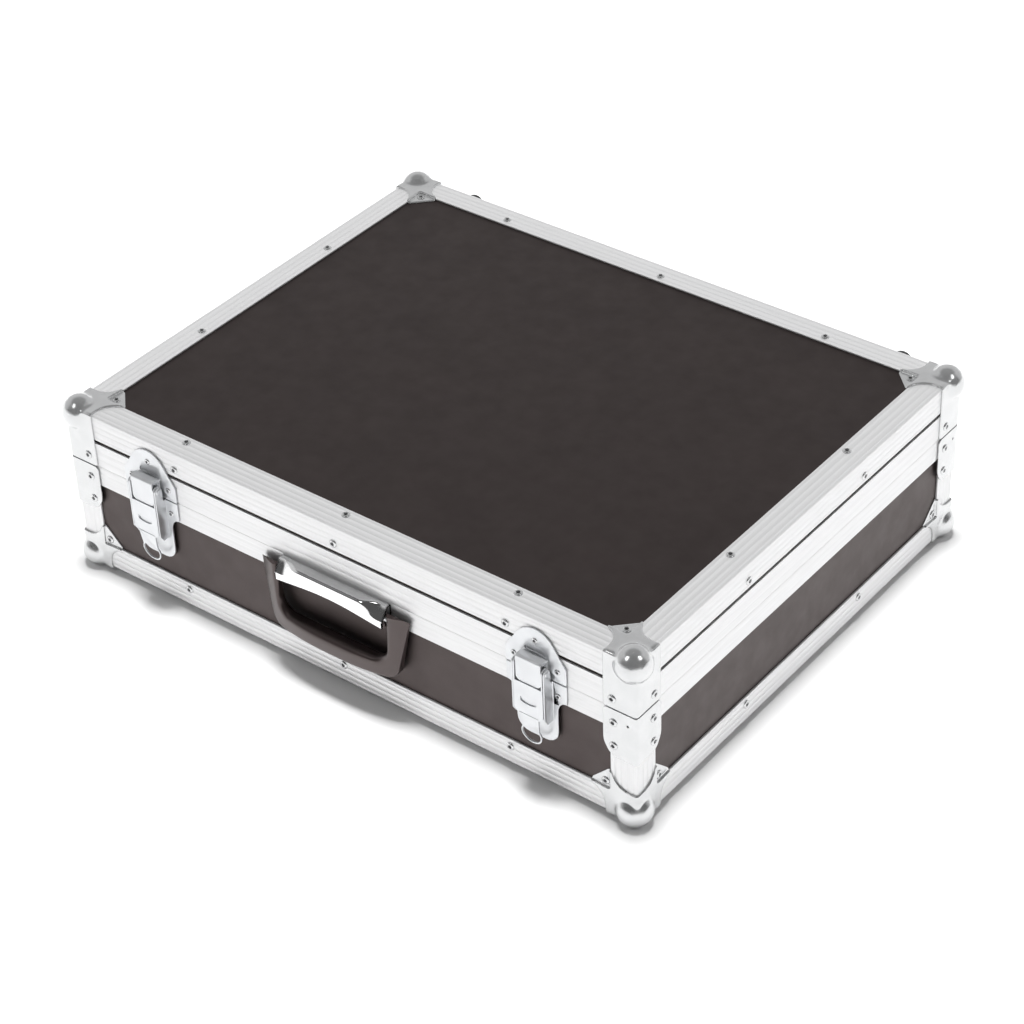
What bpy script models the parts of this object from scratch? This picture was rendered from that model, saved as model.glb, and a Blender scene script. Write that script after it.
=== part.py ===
# Universal equipment case with a hinged lid, two draw latches and a drop handle.
# Metres, +Z up, front towards -Y, origin under the middle of the whole case on the surface it rests on.
import bmesh
import bpy
from math import acos, cos, degrees, pi, radians, sin, sqrt
from mathutils import Matrix, Vector

for old in list(bpy.data.objects):
    bpy.data.objects.remove(old, do_unlink=True)

# Case over its metal edges
case_width = 0.530
case_depth = 0.420
case_height = 0.144
lid_height = 0.0467
fit_gap = 0.0003
split_gap = 0.0003

# Boards and ridged edge angles
board = 0.007
angle_leg = 0.0223
angle_wall = 0.0015
angle_radius = 0.0018
groove_first = 0.0032
groove_pitch = 0.00525
groove_width = 0.0010
groove_depth = 0.00035

# Rims where lid and base meet, with a tongue under the lid and a groove in the base
rim_wall = 0.0015
rim_edge = 0.0005
base_rim_height = 0.0181
lid_rim_height = 0.0216
rim_inner_leg = 0.0120
tongue_from_face = 0.0035
tongue_width = 0.0040
tongue_tip = 0.0013
tongue_draft = 0.0004
tongue_depth = 0.0025
tongue_play = 0.0005

# Pressed steel ball corners
ball_radius = 0.014
ball_inset = 0.007
foot_drop = 0.006
plate = 0.0012
corner_leg = 0.027
wing_reach = 0.0395
wing_near = 0.0235
wing_throat = 0.0075
wing_hollow = 0.0125
wing_step = 0.0010
leg_corner_radius = 0.0020

# L-shaped corner braces below the split
brace_height = 0.042
brace_radius = 0.0055
brace_cut = 0.0075

# Foam lining
lid_foam = 0.025
floor_foam = 0.015
wall_foam = 0.012

# Rubber feet on the back
rubber_foot_radius = 0.0098
rubber_foot_tip = 0.0090
rubber_foot_height = 0.012
rubber_foot_edge = 0.0010
rubber_foot_from_side = 0.0555
rubber_foot_inset = 0.0164

# Hinges on the back
hinge_from_side = 0.115
hinge_length = 0.050
hinge_sheet = 0.0015
hinge_leaf_drop = 0.030
hinge_reach = 0.0042
knuckle_radius = 0.0032
hinge_pin_radius = 0.0015
hinge_head_radius = 0.0026
hinge_head = 0.0010
hinge_notch = 0.0026
weld_bite = 0.0001
knuckle_count = 5

# Draw latches: heights are from the split, reaches are out from the front face
latch_from_side = 0.0835
keeper_half_width = 0.026
keeper_top_radius = 0.018
keeper_height = 0.0387
keeper_shoulder = 0.0137
keeper_lift = 0.0007
shelf_half_width = 0.0107
shelf_level = 0.0164
shelf_thick = 0.0013
shelf_reach = 0.0082
gusset_drop = 0.0070
latch_plate_top = 0.0004
latch_plate_shoulder = 0.0165
latch_plate_neck = 0.0265
latch_plate_drop = 0.0566
latch_plate_half_width = 0.026
latch_tail_half_width = 0.018
latch_tail_radius = 0.011
flange_offset = 0.0130
flange_thick = 0.0012
flange_reach = 0.0109
flange_foot = 0.0353
flange_clear = 0.0035
flange_slant = 0.0030
flange_slant_rise = 0.0050
pivot_height = 0.0097
pivot_reach = 0.0074
pivot_pin_radius = 0.0020
pivot_head_radius = 0.0030
pivot_head = 0.0008
pin_play = 0.0003
lever_half_width = 0.0126
lever_sheet = 0.0012
lever_cheek_radius = 0.0037
lever_top_drop = 0.0043
lever_shoulder_drop = 0.0295
lever_cheek_drop = 0.0245
tongue_half_width = 0.0082
tongue_taper = 0.0008
tongue_shoulder = 0.0040
lever_corner_radius = 0.0020
tab_radius = 0.0090
tab_drop = 0.0505
tongue_tilt = 8
link_drop = 0.0090
link_inward = 0.0005
link_pin_radius = 0.0016
hook_half_width = 0.0108
hook_sheet = 0.0012
hook_knuckle_radius = 0.0034
hook_finger = 0.0052

# Drop handle and its chrome bracket
bracket_half_width = 0.0505
bracket_reach = 0.0110
bracket_sheet = 0.0012
bracket_height = 0.0160
bracket_top_drop = 0.0005
bracket_arch = 0.0040
bracket_arch_half_width = 0.044
handle_reach = 0.0145
handle_edge_reach = 0.0020
handle_back = 0.0015
handle_half_width = 0.0703
handle_foot_half_width = 0.0585
handle_top_drop = 0.0061
handle_height = 0.0560
handle_arm_gap = 0.0008
handle_bar = 0.0140
handle_outer_radius = 0.009
handle_window_radius = 0.013
handle_belly = 2.5
handle_roundness = 0.8
handle_pivot_drop = 0.0108
handle_pivot_reach = 0.0055
handle_pin_radius = 0.0020
handle_pin_bite = 0.0045
handle_top_bevel = 0.0030

# Places worked out from the sizes above
half_width = case_width / 2
half_depth = case_depth / 2
rubber_foot_spread = half_width - rubber_foot_from_side
hinge_spread = half_width - hinge_from_side
latch_spread = half_width - latch_from_side
rear_reach = fit_gap + rubber_foot_height
case_y = (handle_reach - rear_reach) / 2
front_y = case_y - half_depth
rear_y = case_y + half_depth
bottom_z = foot_drop
top_z = bottom_z + case_height
split_z = top_z - lid_height
skin = angle_wall + fit_gap
inside = skin + board
rim_depth = inside + fit_gap + rim_wall
groove_floor = tongue_depth + tongue_play
board_stop_base = split_gap / 2 + groove_floor + rim_wall + fit_gap
board_stop_lid = split_gap / 2 + rim_wall + fit_gap
plate_out = fit_gap + plate
mitre_gap = fit_gap / sqrt(2)

hinge_axis = Vector((0, rear_y + hinge_reach, split_z))
handle_axis = Vector((0, front_y - handle_pivot_reach, split_z - handle_pivot_drop))
up_front = Matrix.Rotation(pi / 2, 4, 'X')
across_x = Matrix.Rotation(pi / 2, 4, 'Y')


# Materials

def make_finish(name, colour, roughness, metallic):
    finish = bpy.data.materials.new(name)
    finish.use_nodes = True
    shader = finish.node_tree.nodes["Principled BSDF"]
    shader.inputs["Base Color"].default_value = (*colour, 1)
    shader.inputs["Roughness"].default_value = roughness
    shader.inputs["Metallic"].default_value = metallic
    finish.diffuse_color = (*colour, 1)
    return finish


laminate = make_finish("brown_laminate", (0.050, 0.039, 0.037), 0.45, 0.0)
aluminium = make_finish("ridged_aluminium", (0.80, 0.80, 0.81), 0.38, 1.0)
zinc = make_finish("zinc_steel", (0.74, 0.75, 0.77), 0.28, 1.0)
chrome = make_finish("chrome_strap", (0.86, 0.86, 0.88), 0.08, 1.0)
grip_plastic = make_finish("brown_plastic", (0.085, 0.068, 0.066), 0.40, 0.0)
rubber = make_finish("black_rubber", (0.012, 0.012, 0.012), 0.65, 0.0)
foam = make_finish("grey_foam", (0.045, 0.045, 0.050), 0.95, 0.0)


# Shape helpers

def arc(centre, radius, start, end, steps):
    # Points on a circle from one angle to another, in degrees
    angles = [radians(start + (end - start) * i / steps) for i in range(steps + 1)]
    return [(centre[0] + radius * cos(a), centre[1] + radius * sin(a)) for a in angles]


def rounded(corners, steps=4):
    # Outline with each corner (x, y, radius) turned into an arc that touches both its sides
    outline = []
    for i, (x, y, radius) in enumerate(corners):
        here = Vector((x, y))
        if radius <= 0:
            outline.append((x, y))
            continue
        before = (Vector(corners[i - 1][:2]) - here)
        after = (Vector(corners[(i + 1) % len(corners)][:2]) - here)
        half = before.angle(after) / 2
        reach = min(radius / abs(sin(half)) * cos(half), 0.49 * before.length, 0.49 * after.length)
        fitted = reach * sin(half) / cos(half)
        middle = here + (before.normalized() + after.normalized()).normalized() * fitted / sin(half)
        start = here + before.normalized() * reach - middle
        end = here + after.normalized() * reach - middle
        turn = start.angle_signed(end)
        for step in range(steps + 1):
            angle = -turn * step / steps
            spoke = Vector((start.x * cos(angle) - start.y * sin(angle),
                            start.x * sin(angle) + start.y * cos(angle)))
            outline.append(tuple(middle + spoke))
    return outline


def mirrored(half):
    # Closed outline from its right half, read from top to bottom
    return half + [(-x, y) for x, y in reversed(half)]


def add_prism(bm, outline, start, end, frame=Matrix()):
    # Outline in the frame's XY plane, extruded along its Z from start to end
    verts = [bm.verts.new((x, y, start)) for x, y in outline]
    face = bm.faces.new(verts)
    lifted = bmesh.ops.extrude_face_region(bm, geom=[face])
    top = [item for item in lifted["geom"] if isinstance(item, bmesh.types.BMVert)]
    bmesh.ops.translate(bm, verts=top, vec=(0, 0, end - start))
    faces = {side for vert in verts + top for side in vert.link_faces}
    bmesh.ops.recalc_face_normals(bm, faces=list(faces))
    bmesh.ops.transform(bm, matrix=frame, verts=verts + top)
    return verts + top


def add_box(bm, low, high):
    centre = (Vector(low) + Vector(high)) / 2
    size = Vector(high) - Vector(low)
    place = Matrix.Translation(centre) @ Matrix.Diagonal((*size, 1))
    bmesh.ops.create_cube(bm, size=1, matrix=place)


def add_rod(bm, radius, start, end, frame=Matrix(), sides=16, tip_radius=None):
    # Round bar along the frame's Z, from start to end
    place = frame @ Matrix.Translation((0, 0, (start + end) / 2))
    far = radius if tip_radius is None else tip_radius
    bmesh.ops.create_cone(bm, cap_ends=True, segments=sides, radius1=radius, radius2=far,
                          depth=end - start, matrix=place)


def add_turned(bm, profile, frame=Matrix(), steps=16):
    # Profile of (radius, height) points turned about the frame's Z
    verts = [bm.verts.new((radius, 0, height)) for radius, height in profile]
    edges = [bm.edges.new(pair) for pair in zip(verts, verts[1:])]
    bmesh.ops.spin(bm, geom=verts + edges, cent=(0, 0, 0), axis=(0, 0, 1), dvec=(0, 0, 0),
                   angle=2 * pi, steps=steps, use_merge=True, use_duplicate=False)
    bmesh.ops.remove_doubles(bm, verts=bm.verts, dist=1e-6)
    bmesh.ops.recalc_face_normals(bm, faces=bm.faces)
    bmesh.ops.transform(bm, matrix=frame, verts=bm.verts)


def combine(body, other, operation):
    # Boolean of two closed shapes, given back as a new one
    holders = []
    for shape in (body, other):
        mesh = bpy.data.meshes.new("shape")
        shape.to_mesh(mesh)
        shape.free()
        holder = bpy.data.objects.new("shape", mesh)
        bpy.context.collection.objects.link(holder)
        holders.append(holder)
    modifier = holders[0].modifiers.new("join", 'BOOLEAN')
    modifier.operation = operation
    modifier.solver = 'EXACT'
    modifier.object = holders[1]
    bpy.context.view_layer.update()
    result = bmesh.new()
    result.from_object(holders[0], bpy.context.evaluated_depsgraph_get())
    for holder in holders:
        mesh = holder.data
        bpy.data.objects.remove(holder)
        bpy.data.meshes.remove(mesh)
    bmesh.ops.remove_doubles(result, verts=result.verts, dist=1e-7)
    bmesh.ops.dissolve_degenerate(result, edges=result.edges, dist=1e-7)
    return result


def outward(bm):
    bmesh.ops.recalc_face_normals(bm, faces=bm.faces)
    return bm


def shape(add, *args, **options):
    # One new shape made by one of the add functions
    bm = bmesh.new()
    add(bm, *args, **options)
    return bm


def join_all(shapes):
    body = shapes[0]
    for other in shapes[1:]:
        body = combine(body, other, 'UNION')
    return body


def drilled(body, radius, frame, length, sides=16):
    return combine(body, shape(add_rod, radius, -length, length, frame, sides), 'DIFFERENCE')


def make_mesh(name, bm, finish, smooth=False):
    mesh = bpy.data.meshes.new(name)
    bm.to_mesh(mesh)
    bm.free()
    mesh.materials.append(finish)
    if smooth:
        mesh.shade_smooth()
        mesh.set_sharp_from_angle(angle=radians(35))
    return mesh


def place_mesh(name, mesh, place=Matrix(), carrier=None):
    # Object at a place in the world, carried by an empty on its joint's axis where it moves
    piece = bpy.data.objects.new(name, mesh)
    bpy.context.collection.objects.link(piece)
    piece.location = place.to_translation()
    piece.rotation_euler = place.to_euler()
    if carrier:
        piece.parent = carrier
        piece.matrix_parent_inverse = Matrix.Translation(-carrier.location)
    return piece


def place_piece(name, bm, finish, place=Matrix(), carrier=None, origin=(0, 0, 0), smooth=False):
    # Shape drawn in the frame that place gives, with the object's origin at a chosen point of it
    bmesh.ops.translate(bm, verts=bm.verts, vec=-Vector(origin))
    mesh = make_mesh(name, bm, finish, smooth)
    return place_mesh(name, mesh, place @ Matrix.Translation(origin), carrier)


def make_axis(name, location):
    axis = bpy.data.objects.new(name, None)
    axis.empty_display_size = 0.02
    axis.location = location
    bpy.context.collection.objects.link(axis)
    return axis


lid_carrier = make_axis("lid_hinge_axis", hinge_axis)
handle_carrier = make_axis("handle_axis", handle_axis)

# Each side of the case: its name, turn about Z, half length along it and place of its middle
sides = {
    "front": (0, half_width, Vector((0, front_y, 0))),
    "right": (pi / 2, half_depth, Vector((half_width, case_y, 0))),
    "rear": (pi, half_width, Vector((0, rear_y, 0))),
    "left": (-pi / 2, half_depth, Vector((-half_width, case_y, 0))),
}
# Each corner of the case: its name, turn about Z and place
corners = {
    "front_left": (0, Vector((-half_width, front_y, 0))),
    "front_right": (pi / 2, Vector((half_width, front_y, 0))),
    "rear_right": (pi, Vector((half_width, rear_y, 0))),
    "rear_left": (-pi / 2, Vector((-half_width, rear_y, 0))),
}


def side_place(side, height):
    # Frame on a side of the case: X along it, Y inwards, Z up
    turn, _, middle = sides[side]
    return Matrix.Translation(middle + Vector((0, 0, height))) @ Matrix.Rotation(turn, 4, 'Z')


def corner_place(corner, height):
    # Frame at a corner of the case: X and Y inwards along its two faces, Z up
    turn, point = corners[corner]
    return Matrix.Translation(point + Vector((0, 0, height))) @ Matrix.Rotation(turn, 4, 'Z')


# Boards of the two shells

def build_boards():
    lid_low = split_z + board_stop_lid
    lid_high = top_z - inside - fit_gap
    base_low = bottom_z + inside + fit_gap
    base_high = split_z - board_stop_base
    flat_x = half_width - skin
    flat_y = half_depth - skin
    for name, low, carrier in (("lid_top_panel", top_z - inside, lid_carrier),
                               ("base_floor_panel", bottom_z + skin, None)):
        bm = shape(add_box, (-flat_x, -flat_y, 0), (flat_x, flat_y, board))
        place_piece(name, bm, laminate, Matrix.Translation((0, case_y, low)), carrier)
    for shell, low, high, carrier in (("lid", lid_low, lid_high, lid_carrier),
                                      ("base", base_low, base_high, None)):
        for side, (_, half_length, _) in sides.items():
            between = inside + fit_gap if side in ("left", "right") else skin
            reach = half_length - between
            bm = shape(add_box, (-reach, skin, 0), (reach, inside, high - low))
            place_piece(f"{shell}_{side}_board", bm, laminate, side_place(side, low), carrier)


# Ridged aluminium angles along the edges and up the corners

def angle_profile():
    # Section with its outer corner at the origin, one leg along +X and one along -Y
    leg = []
    middle = groove_first
    while middle + groove_width < angle_leg:
        leg.append((middle - groove_width / 2, 0))
        leg.append((middle, groove_depth))
        leg.append((middle + groove_width / 2, 0))
        middle += groove_pitch
    leg.append((angle_leg - groove_depth, 0))
    leg.append((angle_leg, groove_depth))
    across = [(along, -depth) for along, depth in leg]
    inner = [(angle_leg, -angle_wall), (angle_wall, -angle_wall), (angle_wall, -angle_leg)]
    down = [(depth, -along) for along, depth in reversed(leg)]
    corner = arc((angle_radius, -angle_radius), angle_radius, 180, 90, 3)
    return across + inner + down + corner


def add_mitred_bar(bm, profile, half_length):
    # Section of (inwards, up) points along X, its ends cut at 45 degrees to meet the next bars
    along_x = Matrix(((0, 0, 1, 0), (1, 0, 0, 0), (0, 1, 0, 0), (0, 0, 0, 1)))
    verts = add_prism(bm, profile, -half_length, half_length, along_x)
    for vert in verts:
        cut = vert.co.y + mitre_gap
        vert.co.x += -cut if vert.co.x > 0 else cut


def build_edges():
    for side, (_, half_length, _) in sides.items():
        lid_edge = shape(add_mitred_bar, angle_profile(), half_length)
        place_piece(f"lid_{side}_edge", lid_edge, aluminium, side_place(side, top_z), lid_carrier)
        upturned = [(inwards, -up) for inwards, up in angle_profile()]
        base_edge = shape(add_mitred_bar, upturned, half_length)
        place_piece(f"base_{side}_edge", base_edge, aluminium, side_place(side, bottom_z))
    low = bottom_z + angle_leg + fit_gap
    height = split_z - base_rim_height - fit_gap - low
    upright = [(-y, x) for x, y in angle_profile()]
    for corner in corners:
        post = shape(add_prism, upright, 0, height)
        place_piece(f"base_post_{corner}", post, aluminium, corner_place(corner, low))


# Rims with tongue and groove

def rim_outline(height, tongue):
    # Section of (inwards, away from the split) points for the base groove or the lid tongue
    gap = split_gap / 2
    wall_line = rim_depth - rim_wall
    outer = tongue_from_face
    inner = tongue_from_face + tongue_width
    tip_start = outer + tongue_draft
    tip_end = tip_start + tongue_tip
    points = [(0, height), (0, gap + rim_edge), (rim_edge, gap)]
    if tongue:
        points += [(outer, gap), (tip_start, gap - tongue_depth)]
        points += [(tip_end, gap - tongue_depth), (inner, gap)]
        web = gap + rim_wall
    else:
        points += [(outer - tongue_play, gap), (outer - tongue_play, gap + groove_floor)]
        points += [(tip_end + tongue_play, gap + groove_floor), (inner + tongue_play, gap)]
        web = gap + groove_floor + rim_wall
    points += [(rim_depth, gap), (rim_depth, rim_inner_leg), (wall_line, rim_inner_leg)]
    points += [(wall_line, web), (rim_wall, web), (rim_wall, height)]
    return points


def rim_frame(outline):
    # The section carried round the four corners of the case, folded at each and closed on itself
    bm = bmesh.new()
    turns = [Matrix.Diagonal((x, y, 1)) for x, y in ((1, 1), (-1, 1), (-1, -1), (1, -1))]
    spots = [Vector((half_width - inwards, half_depth - inwards, up)) for inwards, up in outline]
    rings = []
    for turn in turns:
        verts = [bm.verts.new(turn @ spot) for spot in spots]
        rings.append([bm.edges.new(pair) for pair in zip(verts, verts[1:] + verts[:1])])
    for ring, following in zip(rings, rings[1:] + rings[:1]):
        bmesh.ops.bridge_loops(bm, edges=ring + following)
    return outward(bm)


def build_rims():
    place = Matrix.Translation((0, case_y, split_z))
    place_piece("lid_rim", rim_frame(rim_outline(lid_rim_height, True)), aluminium, place, lid_carrier)
    under = [(inwards, -up) for inwards, up in rim_outline(base_rim_height, False)]
    place_piece("base_rim", rim_frame(under), aluminium, place)


# Pressed ball corners and braces, drawn at a corner whose faces look towards -X, -Y and -Z or +Z

def wing_outline():
    # Plate on one face: a foot beyond the angle's legs, joined through a hollow-sided neck
    hollow = arc((wing_reach - wing_step, wing_throat), wing_hollow, 180, 90, 4)
    half = [(corner_leg - wing_step, -plate_out)] + hollow + [(wing_reach, wing_near)]
    return [(-plate_out, -plate_out)] + half + [(y, x) for x, y in reversed(half)]


def corner_ball(flat):
    ball = shape(bmesh.ops.create_uvsphere, u_segments=20, v_segments=12, radius=ball_radius)
    bmesh.ops.translate(ball, verts=ball.verts, vec=(ball_inset, ball_inset, ball_inset))
    size = 3 * ball_radius
    inner = -fit_gap - plate / 4
    ball = combine(ball, shape(add_box, (inner, inner, inner), (size, size, size)), 'DIFFERENCE')
    if flat:
        ball = combine(ball, shape(add_box, (-size, -size, -size), (size, size, -foot_drop)), 'DIFFERENCE')
    return ball


def face_frames():
    # Frames whose XY plane lies on the faces of the corner, Z into the case
    return (Matrix(),
            Matrix(((1, 0, 0, 0), (0, 0, 1, 0), (0, 1, 0, 0), (0, 0, 0, 1))),
            Matrix(((0, 0, 1, 0), (1, 0, 0, 0), (0, 1, 0, 0), (0, 0, 0, 1))))


def build_foot(frame):
    # Boss of a wing, down to the board beyond the angle's legs
    start = angle_leg + fit_gap
    end = wing_reach - plate
    outline = [(start, start), (end, start), (end, wing_near), (wing_near, end), (start, end)]
    bm = shape(add_prism, outline, -fit_gap - plate / 2, angle_wall, frame)
    return outward(bm)


def build_ball_corners():
    frames = face_frames()
    base = [corner_ball(True)]
    for frame in frames:
        base.append(outward(shape(add_prism, wing_outline(), -plate_out, -fit_gap, frame)))
        base.append(build_foot(frame))
    mesh = make_mesh("base_corner", join_all(base), zinc, smooth=True)
    for corner in corners:
        place_mesh(f"base_corner_{corner}", mesh, corner_place(corner, bottom_z))
    # The lid's corner is drawn with Z into the case, then turned over
    lid = [corner_ball(False)]
    lid.append(outward(shape(add_prism, wing_outline(), -plate_out, -fit_gap, frames[0])))
    lid.append(build_foot(frames[0]))
    drop = lid_height - fit_gap
    start = -fit_gap - plate / 2
    leg = rounded([(-plate_out, start, 0), (corner_leg, start, 0), (corner_leg, drop, leg_corner_radius),
                   (-plate_out, drop, 0)])
    for frame in frames[1:]:
        lid.append(outward(shape(add_prism, leg, -plate_out, -fit_gap, frame)))
    body = join_all(lid)
    bmesh.ops.transform(body, matrix=Matrix.Diagonal((1, 1, -1, 1)), verts=body.verts)
    mesh = make_mesh("lid_corner", outward(body), zinc, smooth=True)
    for corner in corners:
        place_mesh(f"lid_corner_{corner}", mesh, corner_place(corner, top_z), lid_carrier)


def build_braces():
    low = -brace_height
    high = -fit_gap
    outline = rounded([(-plate_out, low, 0), (corner_leg - brace_cut, low, leg_corner_radius),
                       (corner_leg, low + brace_cut, brace_radius), (corner_leg, high, brace_radius),
                       (-plate_out, high, 0)])
    legs = [outward(shape(add_prism, outline, -plate_out, -fit_gap, frame)) for frame in face_frames()[1:]]
    mesh = make_mesh("base_brace", join_all(legs), zinc)
    for corner in corners:
        place_mesh(f"base_brace_{corner}", mesh, corner_place(corner, split_z))


# Feet and foam

def face_point(side, along, height, out=0):
    # Frame on a side face: X along it, Y up, Z outwards
    return side_place(side, height) @ Matrix.Translation((along, -out, 0)) @ up_front


def build_feet():
    profile = [(0, fit_gap), (rubber_foot_radius, fit_gap), (rubber_foot_radius, rubber_foot_height / 4),
               (rubber_foot_tip, rear_reach - rubber_foot_edge),
               (rubber_foot_tip - rubber_foot_edge, rear_reach), (0, rear_reach)]
    for shell, height, carrier in (("lid", top_z - rubber_foot_inset, lid_carrier),
                                   ("base", bottom_z + rubber_foot_inset, None)):
        for name, across in (("left", rubber_foot_spread), ("right", -rubber_foot_spread)):
            foot = shape(add_turned, profile)
            place = face_point("rear", across, height)
            place_piece(f"{shell}_{name}_foot", foot, rubber, place, carrier, smooth=True)


def build_foam():
    reach_x = half_width - inside - fit_gap
    reach_y = half_depth - inside - fit_gap
    middle = Matrix.Translation((0, case_y, 0))
    lid_top = top_z - inside - fit_gap
    pad = shape(add_box, (-reach_x, -reach_y, lid_top - lid_foam), (reach_x, reach_y, lid_top))
    place_piece("lid_foam", pad, foam, middle, lid_carrier)
    floor = bottom_z + inside + fit_gap
    wall_top = split_z - rim_inner_leg - fit_gap
    inner_x = reach_x - wall_foam
    inner_y = reach_y - wall_foam
    tray = shape(add_box, (-reach_x, -reach_y, floor), (reach_x, reach_y, wall_top))
    hollow = shape(add_box, (-inner_x, -inner_y, floor + floor_foam), (inner_x, inner_y, top_z))
    place_piece("base_foam", combine(tray, hollow, 'DIFFERENCE'), foam, middle)


# Hinges: frame with X along the back, Y up and Z out from the rear face, at the split

def hinge_leaf(upwards):
    barrel = Matrix.Translation((0, 0, hinge_reach)) @ Matrix.Rotation(pi / 2, 4, 'Y')
    sign = 1 if upwards else -1
    half = hinge_length / 2
    near = sign * hinge_notch
    far = sign * hinge_leaf_drop
    parts = [shape(add_box, (-half, min(near, far), fit_gap), (half, max(near, far), fit_gap + hinge_sheet))]
    pitch = hinge_length / knuckle_count
    for index in range(knuckle_count):
        if (index % 2 == 1) != upwards:
            continue
        start = -half + index * pitch + fit_gap / 2
        end = start + pitch - fit_gap
        parts.append(shape(add_rod, knuckle_radius, start, end, barrel))
        low = min(0, sign * 2 * hinge_notch)
        high = max(0, sign * 2 * hinge_notch)
        web_out = fit_gap + hinge_sheet - weld_bite
        parts.append(shape(add_box, (start, low, fit_gap + weld_bite), (end, high, web_out)))
    body = join_all(parts)
    return drilled(body, hinge_pin_radius + pin_play, barrel, hinge_length)


def hinge_pin():
    half = hinge_length / 2 + fit_gap
    profile = [(0, -half - hinge_head), (hinge_head_radius, -half - hinge_head), (hinge_head_radius, -half),
               (hinge_pin_radius, -half), (hinge_pin_radius, half), (hinge_head_radius, half),
               (hinge_head_radius, half + hinge_head), (0, half + hinge_head)]
    return shape(add_turned, profile, across_x, 12)


def build_hinges():
    barrel = (0, 0, hinge_reach)
    for name, across in (("left", hinge_spread), ("right", -hinge_spread)):
        frame = face_point("rear", across, split_z)
        place_piece(f"hinge_{name}_lid_leaf", hinge_leaf(True), zinc, frame, lid_carrier, barrel, True)
        place_piece(f"hinge_{name}_base_leaf", hinge_leaf(False), zinc, frame, None, barrel, True)
        axis = frame @ Matrix.Translation(barrel)
        place_piece(f"hinge_{name}_pin", hinge_pin(), zinc, axis, smooth=True)


# Draw latches: frame with X along the front, Y up from the split and Z out from the front face

pivot_point = Vector((0, pivot_height, pivot_reach))
link_point = Vector((0, pivot_height - link_drop, pivot_reach - link_inward))
section_frame = Matrix(((0, 0, 1, 0), (0, 1, 0, 0), (1, 0, 0, 0), (0, 0, 0, 1)))


def add_section(bm, outline, start, end):
    # Outline of (out, up) points, extruded along X from start to end
    add_prism(bm, outline, start, end, section_frame)
    outward(bm)


def latch_keeper():
    shoulder_y = keeper_height - keeper_top_radius
    top = arc((0, shoulder_y), keeper_top_radius, 90, 35, 5)
    half = top + [(keeper_half_width, keeper_shoulder), (keeper_half_width, keeper_lift)]
    parts = [shape(add_prism, mirrored(half), fit_gap, plate_out)]
    low = shelf_level - shelf_thick
    parts.append(shape(add_box, (-shelf_half_width, low, plate_out - plate / 2),
                       (shelf_half_width, shelf_level, shelf_reach)))
    gusset = [(plate_out - plate / 3, low - gusset_drop), (shelf_reach - plate, low + shelf_thick / 2),
              (plate_out - plate / 3, low + shelf_thick / 2)]
    for start in (-shelf_half_width + plate / 4, shelf_half_width - 1.25 * plate):
        parts.append(shape(add_section, gusset, start, start + plate))
    return join_all(parts)


def latch_plate():
    neck = latch_tail_half_width
    half = [(latch_plate_half_width, -latch_plate_top), (latch_plate_half_width, -latch_plate_shoulder)]
    spread = latch_plate_half_width - neck
    fall = latch_plate_neck - latch_plate_shoulder
    half += [(neck + spread * (1 - sin(t)), -latch_plate_shoulder - fall * (1 - cos(t)))
             for t in (radians(a) for a in (25, 50, 75, 90))]
    tail = (neck - latch_tail_radius, latch_tail_radius - latch_plate_drop)
    half += arc(tail, latch_tail_radius, 0, -90, 5)
    parts = [shape(add_prism, mirrored(half), fit_gap, plate_out)]
    ear = pivot_point
    crown = flange_reach - pivot_reach
    outline = [(plate_out - plate / 2, -flange_foot), (flange_reach - flange_slant, -flange_foot),
               (flange_reach, -flange_foot + flange_slant_rise)]
    outline += arc((ear.z, ear.y), crown, 0, 180, 8)
    outline += [(flange_clear, -latch_plate_top), (plate_out - plate / 2, -2 * latch_plate_top)]
    for start in (-flange_offset - flange_thick, flange_offset):
        parts.append(shape(add_section, outline, start, start + flange_thick))
    start = lever_half_width - lever_sheet - pin_play
    head = flange_offset + flange_thick / 2
    tip = flange_offset + flange_thick + pivot_head
    for side in (across_x, across_x @ Matrix.Rotation(pi, 4, 'X')):
        stub = Matrix.Translation(ear) @ side
        parts.append(shape(add_rod, pivot_pin_radius, start, head, stub, 12))
        parts.append(shape(add_rod, pivot_head_radius, head, tip, stub, 12, pivot_pin_radius))
    return join_all(parts)


def latch_lever():
    outer = pivot_reach + lever_cheek_radius
    back = pivot_reach - lever_cheek_radius
    radius = lever_corner_radius
    bend = -lever_shoulder_drop - tongue_shoulder
    half = rounded([(lever_half_width, -lever_top_drop, 0), (lever_half_width, -lever_shoulder_drop, radius),
                    (tongue_half_width, bend, 0)], 2)
    parts = [shape(add_prism, mirrored(half), outer - lever_sheet, outer)]
    # The tongue leans back towards the case from where the cover ends
    lean = Matrix.Translation((0, bend, outer)) @ Matrix.Rotation(radians(tongue_tilt), 4, 'X')
    neck_angle = degrees(acos((tongue_half_width - tongue_taper) / tab_radius))
    tongue = [(tongue_half_width, radius), (tongue_half_width, 0)]
    tongue += arc((0, -tab_drop - bend), tab_radius, neck_angle, -90, 7)
    parts.append(shape(add_prism, mirrored(tongue), -lever_sheet, 0, lean))
    cheek = arc((pivot_reach, pivot_height), lever_cheek_radius, 0, 180, 8)
    cheek += [(back, -lever_cheek_drop), (outer - lever_sheet / 2, radius - lever_shoulder_drop),
              (outer, 1.5 * radius - lever_shoulder_drop)]
    for start in (-lever_half_width, lever_half_width - lever_sheet):
        parts.append(shape(add_section, cheek, start, start + lever_sheet))
    link = Matrix.Translation(link_point) @ across_x
    reach = lever_half_width - lever_sheet / 2
    parts.append(shape(add_rod, link_pin_radius, -reach, reach, link, 12))
    body = join_all(parts)
    bore = Matrix.Translation(pivot_point) @ across_x
    return drilled(body, pivot_pin_radius + pin_play, bore, 2 * lever_half_width)


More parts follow.
